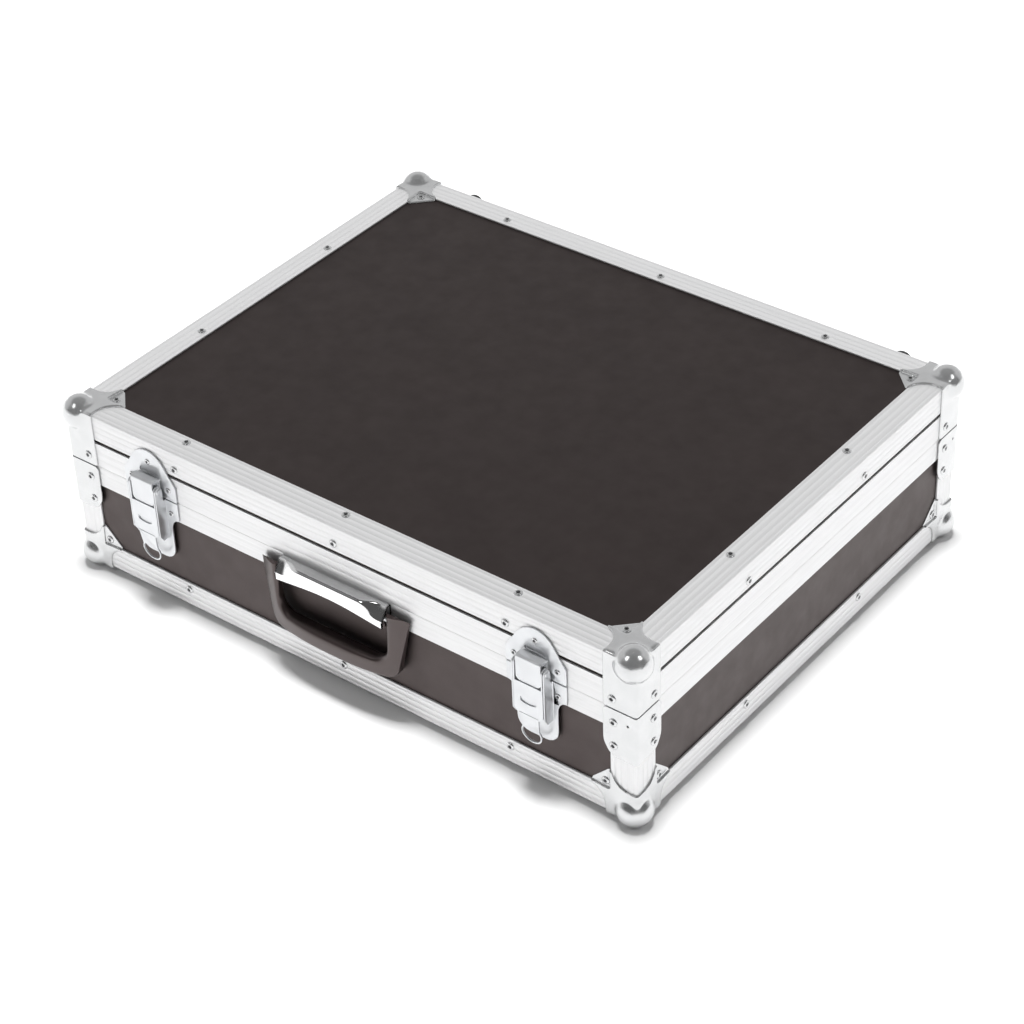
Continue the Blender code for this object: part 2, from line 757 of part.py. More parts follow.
def latch_hook():
    outer = link_point.z + hook_knuckle_radius
    inner = outer - hook_sheet
    finger = shelf_level + fit_gap
    start = degrees(acos((inner - link_point.z) / hook_knuckle_radius))
    curl = arc((link_point.z, link_point.y), hook_knuckle_radius, start, 360, 14)
    outline = [(outer, finger + hook_sheet), (inner - hook_finger, finger + hook_sheet),
               (inner - hook_finger, finger), (inner, finger)] + curl
    body = shape(add_section, outline, -hook_half_width, hook_half_width)
    bore = Matrix.Translation(link_point) @ across_x
    return drilled(body, link_pin_radius + pin_play, bore, 2 * hook_half_width, 12)


def build_latches():
    for name, across in (("left", -latch_spread), ("right", latch_spread)):
        frame = face_point("front", across, split_z)
        place_piece(f"latch_{name}_keeper", latch_keeper(), zinc, frame, lid_carrier)
        place_piece(f"latch_{name}_plate", latch_plate(), zinc, frame)
        lever_axis = make_axis(f"latch_{name}_lever_axis", frame @ pivot_point)
        hook_axis = make_axis(f"latch_{name}_hook_axis", frame @ link_point)
        place_piece(f"latch_{name}_lever", latch_lever(), zinc, frame, lever_axis, pivot_point)
        place_piece(f"latch_{name}_hook", latch_hook(), zinc, frame, hook_axis, link_point, smooth=True)


# Handle: frame with X along the front, Y up from the split and Z out from the front face

def handle_bracket():
    top = -bracket_top_drop
    low = top - bracket_height
    outer = shape(add_box, (-bracket_half_width, low, fit_gap), (bracket_half_width, top, bracket_reach))
    wall = bracket_sheet
    hollow = shape(add_box, (-bracket_half_width + wall, low - wall, fit_gap + wall),
                   (bracket_half_width - wall, top - wall, bracket_reach - wall))
    body = combine(outer, hollow, 'DIFFERENCE')
    # The front lip's lower edge arches up along the middle
    steps = 10
    waist = [(bracket_arch_half_width * (2 * i / steps - 1), low + bracket_arch * sin(pi * i / steps))
             for i in range(steps + 1)]
    cutter = [(waist[0][0], low - wall)] + waist + [(waist[-1][0], low - wall)]
    arch = shape(add_prism, cutter, bracket_reach - 2 * wall, bracket_reach + wall)
    body = combine(body, arch, 'DIFFERENCE')
    bore = Matrix.Translation((0, -handle_pivot_drop, handle_pivot_reach)) @ across_x
    return drilled(body, handle_pin_radius + pin_play, bore, 2 * bracket_half_width)


def handle_grip():
    top = -handle_top_drop
    low = top - handle_height
    over = handle_bar
    depth = handle_reach + over
    outline = rounded([(handle_half_width, top, 0), (handle_foot_half_width, low, handle_outer_radius),
                       (-handle_foot_half_width, low, handle_outer_radius), (-handle_half_width, top, 0)], 5)
    body = shape(add_prism, outline, handle_back, depth)
    arm = bracket_half_width + handle_arm_gap
    window = rounded([(arm, top + over, 0), (arm, low + handle_bar, handle_window_radius),
                      (-arm, low + handle_bar, handle_window_radius), (-arm, top + over, 0)], 5)
    body = combine(body, shape(add_prism, window, 0, depth + over), 'DIFFERENCE')
    # Front bulges along its length: full reach in the middle, thin at the outer edges of the arms
    steps = 20
    belly = []
    for i in range(steps + 1):
        x = handle_half_width * (2 * i / steps - 1)
        share = max(0, 1 - abs(x / handle_half_width) ** handle_belly) ** handle_roundness
        belly.append((x, handle_edge_reach + (handle_reach - handle_edge_reach) * share))
    plan = belly + [(handle_half_width, 0), (-handle_half_width, 0)]
    upright = Matrix(((1, 0, 0, 0), (0, 0, 1, 0), (0, 1, 0, 0), (0, 0, 0, 1)))
    bulge = outward(shape(add_prism, plan, low - over, top + over, upright))
    body = combine(body, bulge, 'INTERSECT')
    # The back edge of the arms' tops is cut away so that the handle can swing up
    cut = handle_top_bevel + handle_back
    bevel = [(0, top - cut), (cut, top), (0, top + over), (-over, top)]
    notch = shape(add_section, bevel, -2 * handle_half_width, 2 * handle_half_width)
    body = combine(body, notch, 'DIFFERENCE')
    bore = Matrix.Translation((0, -handle_pivot_drop, handle_pivot_reach)) @ across_x
    length = bracket_half_width + handle_arm_gap + handle_pin_bite + pin_play
    return drilled(body, handle_pin_radius + pin_play, bore, length)


def build_handle():
    frame = face_point("front", 0, split_z)
    place_piece("handle_bracket", handle_bracket(), chrome, frame)
    axis = Vector((0, -handle_pivot_drop, handle_pivot_reach))
    place_piece("handle_grip", handle_grip(), grip_plastic, frame, handle_carrier, axis, smooth=True)
    reach = bracket_half_width + handle_arm_gap + handle_pin_bite
    pin = shape(add_rod, handle_pin_radius, -reach, reach, Matrix.Translation(axis) @ across_x, 12)
    place_piece("handle_pin", pin, zinc, frame, None, axis, smooth=True)


build_boards()
build_edges()
build_rims()
build_ball_corners()
build_braces()
build_feet()
build_foam()
build_hinges()
build_latches()
build_handle()
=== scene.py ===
import bmesh
import bpy
from math import acos, cos, degrees, pi, radians, sin
from mathutils import Matrix, Vector


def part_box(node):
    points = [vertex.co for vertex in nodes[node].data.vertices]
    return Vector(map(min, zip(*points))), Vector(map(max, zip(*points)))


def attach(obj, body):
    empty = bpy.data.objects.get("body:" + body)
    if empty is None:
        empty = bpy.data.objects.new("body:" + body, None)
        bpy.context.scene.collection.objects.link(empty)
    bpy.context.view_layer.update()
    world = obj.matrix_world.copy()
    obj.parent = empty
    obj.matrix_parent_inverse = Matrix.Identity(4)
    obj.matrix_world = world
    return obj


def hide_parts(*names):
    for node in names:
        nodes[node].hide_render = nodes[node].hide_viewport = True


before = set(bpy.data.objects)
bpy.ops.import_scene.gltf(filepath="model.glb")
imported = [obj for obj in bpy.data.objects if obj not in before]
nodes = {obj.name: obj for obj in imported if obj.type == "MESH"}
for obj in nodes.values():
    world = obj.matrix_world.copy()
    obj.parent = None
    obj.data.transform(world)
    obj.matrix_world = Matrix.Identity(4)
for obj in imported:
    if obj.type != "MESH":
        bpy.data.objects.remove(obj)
scene = bpy.context.scene
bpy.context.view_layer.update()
print("frame loaded", len(nodes), "nodes")

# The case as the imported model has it: its outer faces and the height where lid and base meet
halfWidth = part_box("base_right_edge")[1].x
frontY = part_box("base_front_edge")[0].y
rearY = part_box("base_rear_edge")[1].y
halfDepth = (rearY - frontY) / 2
caseY = (rearY + frontY) / 2
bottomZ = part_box("base_front_edge")[0].z
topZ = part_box("lid_front_edge")[1].z
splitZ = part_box("base_rim")[1].z + 0.00015

# Each side and corner of the case: turn about Z, half its length, and where it stands
sides = {
    "front": (0, halfWidth, Vector((0, frontY, 0))),
    "right": (pi / 2, halfDepth, Vector((halfWidth, caseY, 0))),
    "rear": (pi, halfWidth, Vector((0, rearY, 0))),
    "left": (-pi / 2, halfDepth, Vector((-halfWidth, caseY, 0))),
}
corners = {
    "front_left": (0, Vector((-halfWidth, frontY, 0))),
    "front_right": (pi / 2, Vector((halfWidth, frontY, 0))),
    "rear_right": (pi, Vector((halfWidth, rearY, 0))),
    "rear_left": (-pi / 2, Vector((-halfWidth, rearY, 0))),
}
faceUp = Matrix.Rotation(pi / 2, 4, 'X')
acrossX = Matrix.Rotation(pi / 2, 4, 'Y')
turnedOver = Matrix.Rotation(pi, 4, 'X')
# Planes of the three faces that meet in a corner, Z into the case
cornerFaces = (Matrix(),
               Matrix(((1, 0, 0, 0), (0, 0, 1, 0), (0, 1, 0, 0), (0, 0, 0, 1))),
               Matrix(((0, 0, 1, 0), (1, 0, 0, 0), (0, 1, 0, 0), (0, 0, 0, 1))))
# Sections drawn as (out, up) and extruded along X
sectionPlane = Matrix(((0, 0, 1, 0), (0, 1, 0, 0), (1, 0, 0, 0), (0, 0, 0, 1)))


def sidePlace(side, height):
    # X along the side, Y into the case, Z up
    turn, _, middle = sides[side]
    return Matrix.Translation(middle + Vector((0, 0, height))) @ Matrix.Rotation(turn, 4, 'Z')


def facePlace(side, along, height):
    # X along the side, Y up, Z out of the face
    return sidePlace(side, height) @ Matrix.Translation((along, 0, 0)) @ faceUp


def cornerPlace(corner, height):
    # X and Y into the case along the two faces, Z up
    turn, point = corners[corner]
    return Matrix.Translation(point + Vector((0, 0, height))) @ Matrix.Rotation(turn, 4, 'Z')


# Camera

def aimedRows(azimuth, elevation, roll):
    a, e, r = radians(azimuth), radians(elevation), radians(roll)
    back = Vector((sin(a) * cos(e), -cos(a) * cos(e), sin(e)))
    right = Vector((0, 0, 1)).cross(back).normalized()
    up = back.cross(right)
    return right * cos(r) + up * sin(r), -right * sin(r) + up * cos(r), back


def addCamera():
    # Worked out from the corners of the case in the picture
    shot = {"azimuth": 39.05897, "elevation": 36.73541, "roll": -2.38490,
            "aside": -0.0050204, "above": 0.0221879, "distance": 2.1822368, "lens": 97.5150}
    right, up, back = aimedRows(shot["azimuth"], shot["elevation"], shot["roll"])
    place = right * shot["aside"] + up * shot["above"] + back * shot["distance"]
    place += Vector((0, caseY, bottomZ))
    camera = addObject("camera", bpy.data.cameras.new("camera"))
    camera.data.sensor_width = 36
    camera.data.lens = shot["lens"]
    camera.data.clip_end = 50
    camera.matrix_world = Matrix.Translation(place) @ Matrix((right, up, back)).transposed().to_4x4()
    scene.camera = camera


# Floor and light

# Boxes: azimuth, elevation, distance, size, power; pairs of numbers are where a shade starts and ends
studioLight = {"floorSize": 9, "floorColour": 0.90, "floorRoughness": 0.9, "floorGlow": 0.01,
               "backdrop": (1.3, 3.0), "horizon": (0.10, 0.17), "dim": 0.09, "white": 0.60, "wallSide": 219,
               "wallTop": (0.62, 0.82), "wallEdge": (-0.2, 0.15), "ceiling": 0.12, "aimHeight": 0.08,
               "topBox": (203, 88.8, 5.0, (1.1, 1.1), 365),
               "leftBox": (-21, 49, 3.0, (0.6, 0.6), 6), "rightBox": (99, 49, 3.0, (0.6, 0.6), 6)}


def mathNode(tree, operation, *values):
    # Each value is a number or the output of another node
    step = tree.nodes.new("ShaderNodeMath")
    step.operation = operation
    for socket, value in zip(step.inputs, values):
        if isinstance(value, bpy.types.NodeSocket):
            tree.links.new(value, socket)
        else:
            socket.default_value = value
    return step.outputs[0]


def rangeNode(tree, value, limits, start, end, way='SMOOTHSTEP'):
    step = tree.nodes.new("ShaderNodeMapRange")
    step.interpolation_type = way
    for key, number in zip(("From Min", "From Max", "To Min", "To Max"), (*limits, start, end)):
        step.inputs[key].default_value = number
    tree.links.new(value, step.inputs["Value"])
    return step.outputs["Result"]


def seenRays(tree):
    # 1 for what the lens, metal and glass see, 0 for the light that falls on things
    seen = tree.nodes.new("ShaderNodeLightPath").outputs
    either = mathNode(tree, 'MAXIMUM', seen["Is Camera Ray"], seen["Is Glossy Ray"])
    return mathNode(tree, 'MAXIMUM', either, seen["Is Transmission Ray"])


def addFloor():
    # White paper: it shows white to the lens and in the metal, and still takes the case's shadow
    light = studioLight
    bm = bmesh.new()
    bmesh.ops.create_grid(bm, x_segments=8, y_segments=8, size=light["floorSize"])
    floor = addObject("studio_floor", meshFrom(bm, "studio_floor"))
    paper = bpy.data.materials.new("floor_paper")
    paper.use_nodes = True
    tree = paper.node_tree
    shader = tree.nodes["Principled BSDF"]
    shader.inputs["Base Color"].default_value = (*[light["floorColour"]] * 3, 1)
    shader.inputs["Roughness"].default_value = light["floorRoughness"]
    shader.inputs["Specular IOR Level"].default_value = 0.0
    shader.inputs["Emission Color"].default_value = (1, 1, 1, 1)
    # Far from the case, where the lamp is weak, the paper turns into the white backdrop
    away = tree.nodes.new("ShaderNodeVectorMath")
    away.operation = 'LENGTH'
    tree.links.new(tree.nodes.new("ShaderNodeTexCoord").outputs["Object"], away.inputs[0])
    glow = rangeNode(tree, away.outputs["Value"], light["backdrop"], light["floorGlow"], 1)
    tree.links.new(mathNode(tree, 'MULTIPLY', seenRays(tree), glow), shader.inputs["Emission Strength"])
    floor.data.materials.append(paper)


def addLamp(name, azimuth, elevation, distance, size, power, mirrored=True):
    # Softbox seen from the case in a compass direction, 0 in front and 90 on the right
    lamp = bpy.data.lights.new(name, 'AREA')
    lamp.shape = 'RECTANGLE'
    lamp.size, lamp.size_y = size
    lamp.energy = power
    back = aimedRows(azimuth, elevation, 0)[2]
    holder = addObject(name, lamp)
    holder.location = back * distance + Vector((0, 0, studioLight["aimHeight"]))
    holder.rotation_euler = back.to_track_quat('Z', 'Y').to_euler()
    holder.visible_glossy = mirrored


def addRoom():
    # A dim room with a white wall behind the case, which the top's metal mirrors
    light = studioLight
    studio = bpy.data.worlds.new("studio")
    studio.use_nodes = True
    tree = studio.node_tree
    way = tree.nodes.new("ShaderNodeTexCoord").outputs["Generated"]
    split = tree.nodes.new("ShaderNodeSeparateXYZ")
    facing = tree.nodes.new("ShaderNodeVectorMath")
    facing.operation = 'DOT_PRODUCT'
    facing.inputs[1].default_value = aimedRows(light["wallSide"], 0, 0)[2]
    tree.links.new(way, split.inputs[0])
    tree.links.new(way, facing.inputs[0])
    height = split.outputs["Z"]
    wall = mathNode(tree, 'MULTIPLY', rangeNode(tree, height, light["wallTop"], 1, light["ceiling"]),
                    rangeNode(tree, facing.outputs["Value"], light["wallEdge"], 0, 1))
    level = mathNode(tree, 'MULTIPLY_ADD', wall, light["white"] - light["dim"], light["dim"])
    # The horizon shows white to the lens and in the metal
    horizon = mathNode(tree, 'MULTIPLY', rangeNode(tree, height, light["horizon"], 1, 0), seenRays(tree))
    background = tree.nodes["Background"].inputs
    background["Color"].default_value = (1, 1, 1, 1)
    tree.links.new(mathNode(tree, 'MAXIMUM', level, horizon), background["Strength"])
    scene.world = studio
    scene.view_settings.view_transform = 'Standard'
    addLamp("top_softbox", *light["topBox"], mirrored=False)
    addLamp("left_softbox", *light["leftBox"])
    addLamp("right_softbox", *light["rightBox"])


# Finishes

# Shades, then the noise (scale, detail) behind the shades, the gloss and the grain, and what the shader is set to;
# without a grain of its own a bump follows the shades; bump is (depth, strength)
finishLooks = {
    # Dark brown laminate with a fine leathery skin and faint mottling
    "brown_laminate_board": {
        "slot": "brown_laminate", "dark": (0.0045, 0.0032, 0.0031), "light": (0.0062, 0.0045, 0.0043),
        "mottle": (20, 4), "gloss": (70, 3), "roughness": (0.46, 0.54), "grain": (900, 3), "bump": (0.00010, 0.3),
        "set": {"IOR": 1.66, "Specular Tint": (1.0, 0.79, 0.76, 1)}},
    # Extruded aluminium, drawn streaks along each bar
    "ridged_aluminium_bar": {
        "slot": "ridged_aluminium", "dark": (0.72, 0.72, 0.725), "light": (0.77, 0.77, 0.775),
        "mottle": (1.0, 4, "UV", (6, 1800, 1)), "gloss": (1.0, 3, "UV", (30, 700, 1)), "roughness": (0.42, 0.50),
        "bump": (0.00001, 0.15), "set": {"Metallic": 0.64}},
    # Bright zinc plated sheet steel, very faintly cloudy
    "zinc_steel_sheet": {
        "slot": "zinc_steel", "dark": (0.58, 0.585, 0.59), "light": (0.62, 0.625, 0.63), "mottle": (90, 3),
        "gloss": (200, 3), "roughness": (0.19, 0.27), "grain": (700, 2), "bump": (0.00001, 0.25),
        "set": {"Metallic": 0.84}},
    # Duller zinc with a blue passivated skin, as on stamped latches
    "blue_zinc_latch": {
        "slot": "zinc_steel", "dark": (0.61, 0.62, 0.635), "light": (0.65, 0.66, 0.675), "mottle": (60, 2),
        "gloss": (90, 2), "roughness": (0.285, 0.325), "grain": (700, 2), "bump": (0.00001, 0.2),
        "set": {"Metallic": 0.80}},
    # Broken ends of the rivets' pins, dull steel coloured almost black as painted shade in the rivets' holes
    "rivet_pin_hole_shade": {
        "slot": "zinc_steel", "dark": (0.05, 0.05, 0.052), "light": (0.12, 0.12, 0.125), "mottle": (800, 3),
        "gloss": (900, 2), "roughness": (0.45, 0.65), "set": {"Metallic": 1.0}},
    "chrome_strap_plate": {
        "slot": "chrome_strap", "dark": (0.84, 0.84, 0.845), "light": (0.89, 0.89, 0.895), "mottle": (150, 2),
        "gloss": (300, 2), "roughness": (0.05, 0.10), "set": {"Metallic": 1.0}},
    # Moulded plastic with a fine grain
    "brown_plastic_grip": {
        "slot": "brown_plastic", "dark": (0.017, 0.012, 0.0115), "light": (0.021, 0.015, 0.0145),
        "mottle": (90, 3), "gloss": (120, 2), "roughness": (0.285, 0.32), "grain": (1600, 2),
        "bump": (0.00001, 0.2), "set": {"IOR": 1.70, "Specular Tint": (1.0, 0.84, 0.82, 1)}},
    "black_rubber_foot": {
        "slot": "black_rubber", "dark": (0.010, 0.010, 0.010), "light": (0.018, 0.018, 0.018), "mottle": (200, 3),
        "gloss": (500, 3), "roughness": (0.58, 0.76), "grain": (2200, 2), "bump": (0.00010, 0.5), "set": {}},
    # Open cell foam; its shades follow the bump, so the cells' pits are painted darker as shade
    "grey_foam_pad": {
        "slot": "grey_foam", "dark": (0.020, 0.020, 0.022), "light": (0.060, 0.060, 0.066), "mottle": (1300, 4),
        "gloss": (400, 3), "roughness": (0.90, 1.0), "bump": (0.0006, 0.8), "set": {"Sheen Weight": 0.25}},
}
noiseSpan = {"shades": (0.35, 0.65), "gloss": (0.3, 0.7)}  # part of the noise that is spread over a range


def addNoise(tree, scale, detail, source="Object", stretch=(1, 1, 1)):
    # Noise read from the object's own coordinates or from the map along a bar
    mapping = tree.nodes.new("ShaderNodeMapping")
    mapping.inputs["Scale"].default_value = stretch
    grain = tree.nodes.new("ShaderNodeTexNoise")
    grain.inputs["Scale"].default_value = scale
    grain.inputs["Detail"].default_value = detail
    tree.links.new(tree.nodes.new("ShaderNodeTexCoord").outputs[source], mapping.inputs["Vector"])
    tree.links.new(mapping.outputs["Vector"], grain.inputs["Vector"])
    return grain.outputs["Fac"]


def newFinish(name):
    look = finishLooks[name]
    finish = bpy.data.materials.new(name)
    finish.use_nodes = True
    finish["slot"] = look["slot"]
    finish.diffuse_color = (*look["light"], 1)
    tree = finish.node_tree
    shader = tree.nodes["Principled BSDF"].inputs
    shader["Base Color"].default_value = (*look["light"], 1)
    for socket, value in look["set"].items():
        shader[socket].default_value = value
    mottle = addNoise(tree, *look["mottle"])
    ramp = tree.nodes.new("ShaderNodeValToRGB")
    for stop, position, shade in zip(ramp.color_ramp.elements, noiseSpan["shades"], ("dark", "light")):
        stop.position = position
        stop.color = (*look[shade], 1)
    tree.links.new(mottle, ramp.inputs[0])
    tree.links.new(ramp.outputs["Color"], shader["Base Color"])
    gloss = rangeNode(tree, addNoise(tree, *look["gloss"]), noiseSpan["gloss"], *look["roughness"], 'LINEAR')
    tree.links.new(gloss, shader["Roughness"])
    if "bump" in look:
        bump = tree.nodes.new("ShaderNodeBump")
        for socket, value in zip(("Distance", "Strength"), look["bump"]):
            bump.inputs[socket].default_value = value
        tree.links.new(addNoise(tree, *look["grain"]) if "grain" in look else mottle, bump.inputs["Height"])
        tree.links.new(bump.outputs["Normal"], shader["Normal"])
    return finish


laminate = newFinish("brown_laminate_board")
aluminium = newFinish("ridged_aluminium_bar")
zinc = newFinish("zinc_steel_sheet")
latchSteel = newFinish("blue_zinc_latch")
pinHoleShadeSteel = newFinish("rivet_pin_hole_shade")
chrome = newFinish("chrome_strap_plate")
gripPlastic = newFinish("brown_plastic_grip")
rubber = newFinish("black_rubber_foot")
foam = newFinish("grey_foam_pad")


# Mesh helpers

def meshFrom(bm, name="shape"):
    mesh = bpy.data.meshes.new(name)
    bm.to_mesh(mesh)
    bm.free()
    return mesh


def addObject(name, data):
    thing = bpy.data.objects.new(name, data)
    scene.collection.objects.link(thing)
    return thing


def newPiece(name, bm, finish, body, replaced=(), sharp=38, edge=0, segments=2):
    # Mesh object that rides on a body; edge is the rounding of its sharp edges
    bmesh.ops.recalc_face_normals(bm, faces=bm.faces)
    mesh = meshFrom(bm, name)
    mesh.materials.append(finish)
    mesh.shade_smooth()
    piece = addObject(name, mesh)
    if edge:
        softened = piece.modifiers.new("edge", 'BEVEL')
        softened.width = edge
        softened.segments = segments
        softened.limit_method = 'ANGLE'
        softened.angle_limit = radians(sharp)
        softened.harden_normals = True
        softened.use_clamp_overlap = True
    else:
        mesh.set_sharp_from_angle(angle=radians(sharp))
    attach(piece, body)
    if replaced:
        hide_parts(*replaced)
    return piece


def moved(bm, place):
    bmesh.ops.transform(bm, matrix=place, verts=bm.verts)
    return bm


def roundEdges(bm, edges, offset, clamp=False):
    bmesh.ops.bevel(bm, geom=edges, offset=offset, offset_type='OFFSET', segments=4, profile=0.5,
                    affect='EDGES', material=-1, clamp_overlap=clamp)


def relax(bm, verts, passes):
    for _ in range(passes):
        bmesh.ops.smooth_vert(bm, verts=verts, factor=0.5, use_axis_x=True, use_axis_y=True, use_axis_z=True)


def carriedShape(node):
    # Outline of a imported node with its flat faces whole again
    bm = bmesh.new()
    bm.from_mesh(nodes[node].data)
    bmesh.ops.remove_doubles(bm, verts=bm.verts, dist=1e-6)
    bmesh.ops.dissolve_limit(bm, angle_limit=radians(1), verts=bm.verts, edges=bm.edges)
    return bm


def arc(centre, radius, start, end, steps):
    angles = [radians(start + (end - start) * i / steps) for i in range(steps + 1)]
    return [(centre[0] + radius * cos(a), centre[1] + radius * sin(a)) for a in angles]


def rounded(points, steps=4):
    # Outline with each corner (x, y, radius) turned into an arc that touches both its sides
    outline = []
    for i, (x, y, radius) in enumerate(points):
        here = Vector((x, y))
        if radius <= 0:
            outline.append((x, y))
            continue
        before = Vector(points[i - 1][:2]) - here
        after = Vector(points[(i + 1) % len(points)][:2]) - here
        half = before.angle(after) / 2
        reach = min(radius / sin(half) * cos(half), 0.49 * before.length, 0.49 * after.length)
        fitted = reach * sin(half) / cos(half)
        middle = here + (before.normalized() + after.normalized()).normalized() * fitted / sin(half)
        start = here + before.normalized() * reach - middle
        turn = start.angle_signed(here + after.normalized() * reach - middle)
        for step in range(steps + 1):
            outline.append(tuple(middle + Matrix.Rotation(-turn * step / steps, 2) @ start))
    return outline


def prism(outline, start, end, place=Matrix()):
    # Outline in the place's XY plane, extruded along its Z
    bm = bmesh.new()
    face = bm.faces.new([bm.verts.new((x, y, start)) for x, y in outline])
    lifted = bmesh.ops.extrude_face_region(bm, geom=[face])
    top = [item for item in lifted["geom"] if isinstance(item, bmesh.types.BMVert)]
    bmesh.ops.translate(bm, verts=top, vec=(0, 0, end - start))
    moved(bm, place)
    bmesh.ops.recalc_face_normals(bm, faces=bm.faces)
    return bm


def block(low, high, place=Matrix()):
    bm = bmesh.new()
    low, high = Vector(low), Vector(high)
    bmesh.ops.create_cube(bm, size=1, matrix=place @ Matrix.Translation((low + high) / 2)
                          @ Matrix.Diagonal((*(high - low), 1)))
    bmesh.ops.recalc_face_normals(bm, faces=bm.faces)
    return bm


def rod(radius, start, end, place=Matrix(), around=24):
    bm = bmesh.new()
    bmesh.ops.create_cone(bm, cap_ends=True, segments=around, radius1=radius, radius2=radius, depth=end - start,
                          matrix=place @ Matrix.Translation((0, 0, (start + end) / 2)))
    return bm


def turned(profile, place=Matrix(), steps=20):
    # Profile of (radius, height) points turned about the place's Z
    bm = bmesh.new()
    verts = [bm.verts.new((radius, 0, height)) for radius, height in profile]
    edges = [bm.edges.new(pair) for pair in zip(verts, verts[1:])]
    bmesh.ops.spin(bm, geom=verts + edges, cent=(0, 0, 0), axis=(0, 0, 1), dvec=(0, 0, 0),
                   angle=2 * pi, steps=steps, use_merge=True, use_duplicate=False)
    bmesh.ops.remove_doubles(bm, verts=bm.verts, dist=1e-7)
    moved(bm, place)
    bmesh.ops.recalc_face_normals(bm, faces=bm.faces)
    return bm


def gathered(shapes):
    # Closed shapes kept apart in one mesh
    bm = bmesh.new()
    for shape in shapes:
        mesh = meshFrom(shape)
        bm.from_mesh(mesh)
        bpy.data.meshes.remove(mesh)
    return bm


def shapedBy(shapes, setUp):
    # The shapes as objects, the first with a modifier that setUp fills in, given back as a new bmesh
    holders = [addObject("shape", meshFrom(shape)) for shape in shapes]
    setUp(*holders)
    bpy.context.view_layer.update()
    result = bmesh.new()
    result.from_object(holders[0], bpy.context.evaluated_depsgraph_get())
    for holder in holders:
        mesh = holder.data
        bpy.data.objects.remove(holder)
        bpy.data.meshes.remove(mesh)
    return result


def combined(body, other, operation):
    def setUp(first, second):
        modifier = first.modifiers.new("join", 'BOOLEAN')
        modifier.operation = operation
        modifier.solver = 'EXACT'
        modifier.object = second
    result = shapedBy([body, other], setUp)
    bmesh.ops.remove_doubles(result, verts=result.verts, dist=1e-7)
    bmesh.ops.dissolve_degenerate(result, edges=result.edges, dist=1e-7)
    return result


def pressed(shapes, grain, passes):
    # Overlapping shapes drawn into one sheet with soft folds, as a press leaves it
    def melt(holder):
        modifier = holder.modifiers.new("melt", 'REMESH')
        modifier.mode = 'VOXEL'
        modifier.voxel_size = grain
        modifier.adaptivity = 0
    result = shapedBy([gathered(shapes)], melt)
    relax(result, result.verts, passes)
    return result


def thinned(bm, keep):
    def lighten(holder):
        modifier = holder.modifiers.new("lighten", 'DECIMATE')
        modifier.ratio = keep
    return shapedBy([bm], lighten)


# Angles along the edges and up the corners

angleBar = {"leg": 0.0223, "wall": 0.0015, "corner": 0.0018, "firstGroove": 0.0032, "pitch": 0.00525,
            "grooveWidth": 0.0009, "grooveDepth": 0.00013, "edge": 0.0004, "endGap": 0.0002}


def angleProfile():
    # Points of (inwards, down) round the section: outer side of one leg, back along the inside, other leg
    bar = angleBar
    leg = []
    middle = bar["firstGroove"]
    while middle + bar["grooveWidth"] < bar["leg"]:
        half = bar["grooveWidth"] / 2
        leg += [(middle - half, 0), (middle - half * 0.45, bar["grooveDepth"]),
                (middle + half * 0.45, bar["grooveDepth"]), (middle + half, 0)]
        middle += bar["pitch"]
    leg += [(bar["leg"] - bar["edge"], 0), (bar["leg"], bar["edge"])]
    inside = [(bar["leg"], bar["wall"]), (bar["wall"], bar["wall"]), (bar["wall"], bar["leg"])]
    down = [(depth, along) for along, depth in reversed(leg)]
    bend = [(x, -y) for x, y in arc((bar["corner"], -bar["corner"]), bar["corner"], 180, 90, 5)]
    return leg + inside + down + bend


def ridgedBar(half, place, mitred=True, flip=1):
    # The section extruded along X, its ends cut at 45 degrees, with a map along it for the drawn streaks
    alongX = Matrix(((0, 0, 1, 0), (1, 0, 0, 0), (0, -flip, 0, 0), (0, 0, 0, 1)))
    bm = prism(angleProfile(), -half, half, alongX)
    for vert in bm.verts:
        cut = angleBar["endGap"] + (vert.co.y if mitred else 0)
        vert.co.x += -cut if vert.co.x > 0 else cut
    mapAlong(bm)
    return moved(bm, place)


def mapAlong(bm):
    # U runs along the longer way of each face, V across it, in metres
    layer = bm.loops.layers.uv.verify()
    for face in bm.faces:
        frontal = abs(face.normal.x) < 0.7
        for loop in face.loops:
            spot = loop.vert.co
            loop[layer].uv = (spot.x, spot.y - spot.z) if frontal else (spot.y, spot.z)


def buildEdges():
    for side, (_, half, _) in sides.items():
        newPiece(f"lid_{side}_ridged_angle", ridgedBar(half, sidePlace(side, topZ)), aluminium, "lid",
                 [f"lid_{side}_edge"])
        newPiece(f"base_{side}_ridged_angle", ridgedBar(half, sidePlace(side, bottomZ), flip=-1), aluminium,
                 "base", [f"base_{side}_edge"])
    upright = Matrix(((0, 0, -1, 0), (0, 1, 0, 0), (1, 0, 0, 0), (0, 0, 0, 1)))
    for corner in corners:
        low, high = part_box(f"base_post_{corner}")
        place = cornerPlace(corner, (low.z + high.z) / 2) @ upright
        newPiece(f"base_{corner}_ridged_post", ridgedBar((high.z - low.z) / 2, place, mitred=False), aluminium,
                 "base", [f"base_post_{corner}"])


# Rims where the lid meets the base, one with a tongue and one with a groove

rimBar = {"wall": 0.0015, "edge": 0.0002, "depth": 0.0106, "innerLeg": 0.0120, "gap": 0.00005,
          "tongueFrom": 0.0035, "tongueWidth": 0.0040, "tongueTip": 0.0013, "draft": 0.0004,
          "tongueDepth": 0.0025, "play": 0.0005, "creaseWidth": 0.0008, "creaseDepth": 0.00012,
          "lidCreases": (0.0075, 0.0145), "baseCreases": (0.0062, 0.0122)}


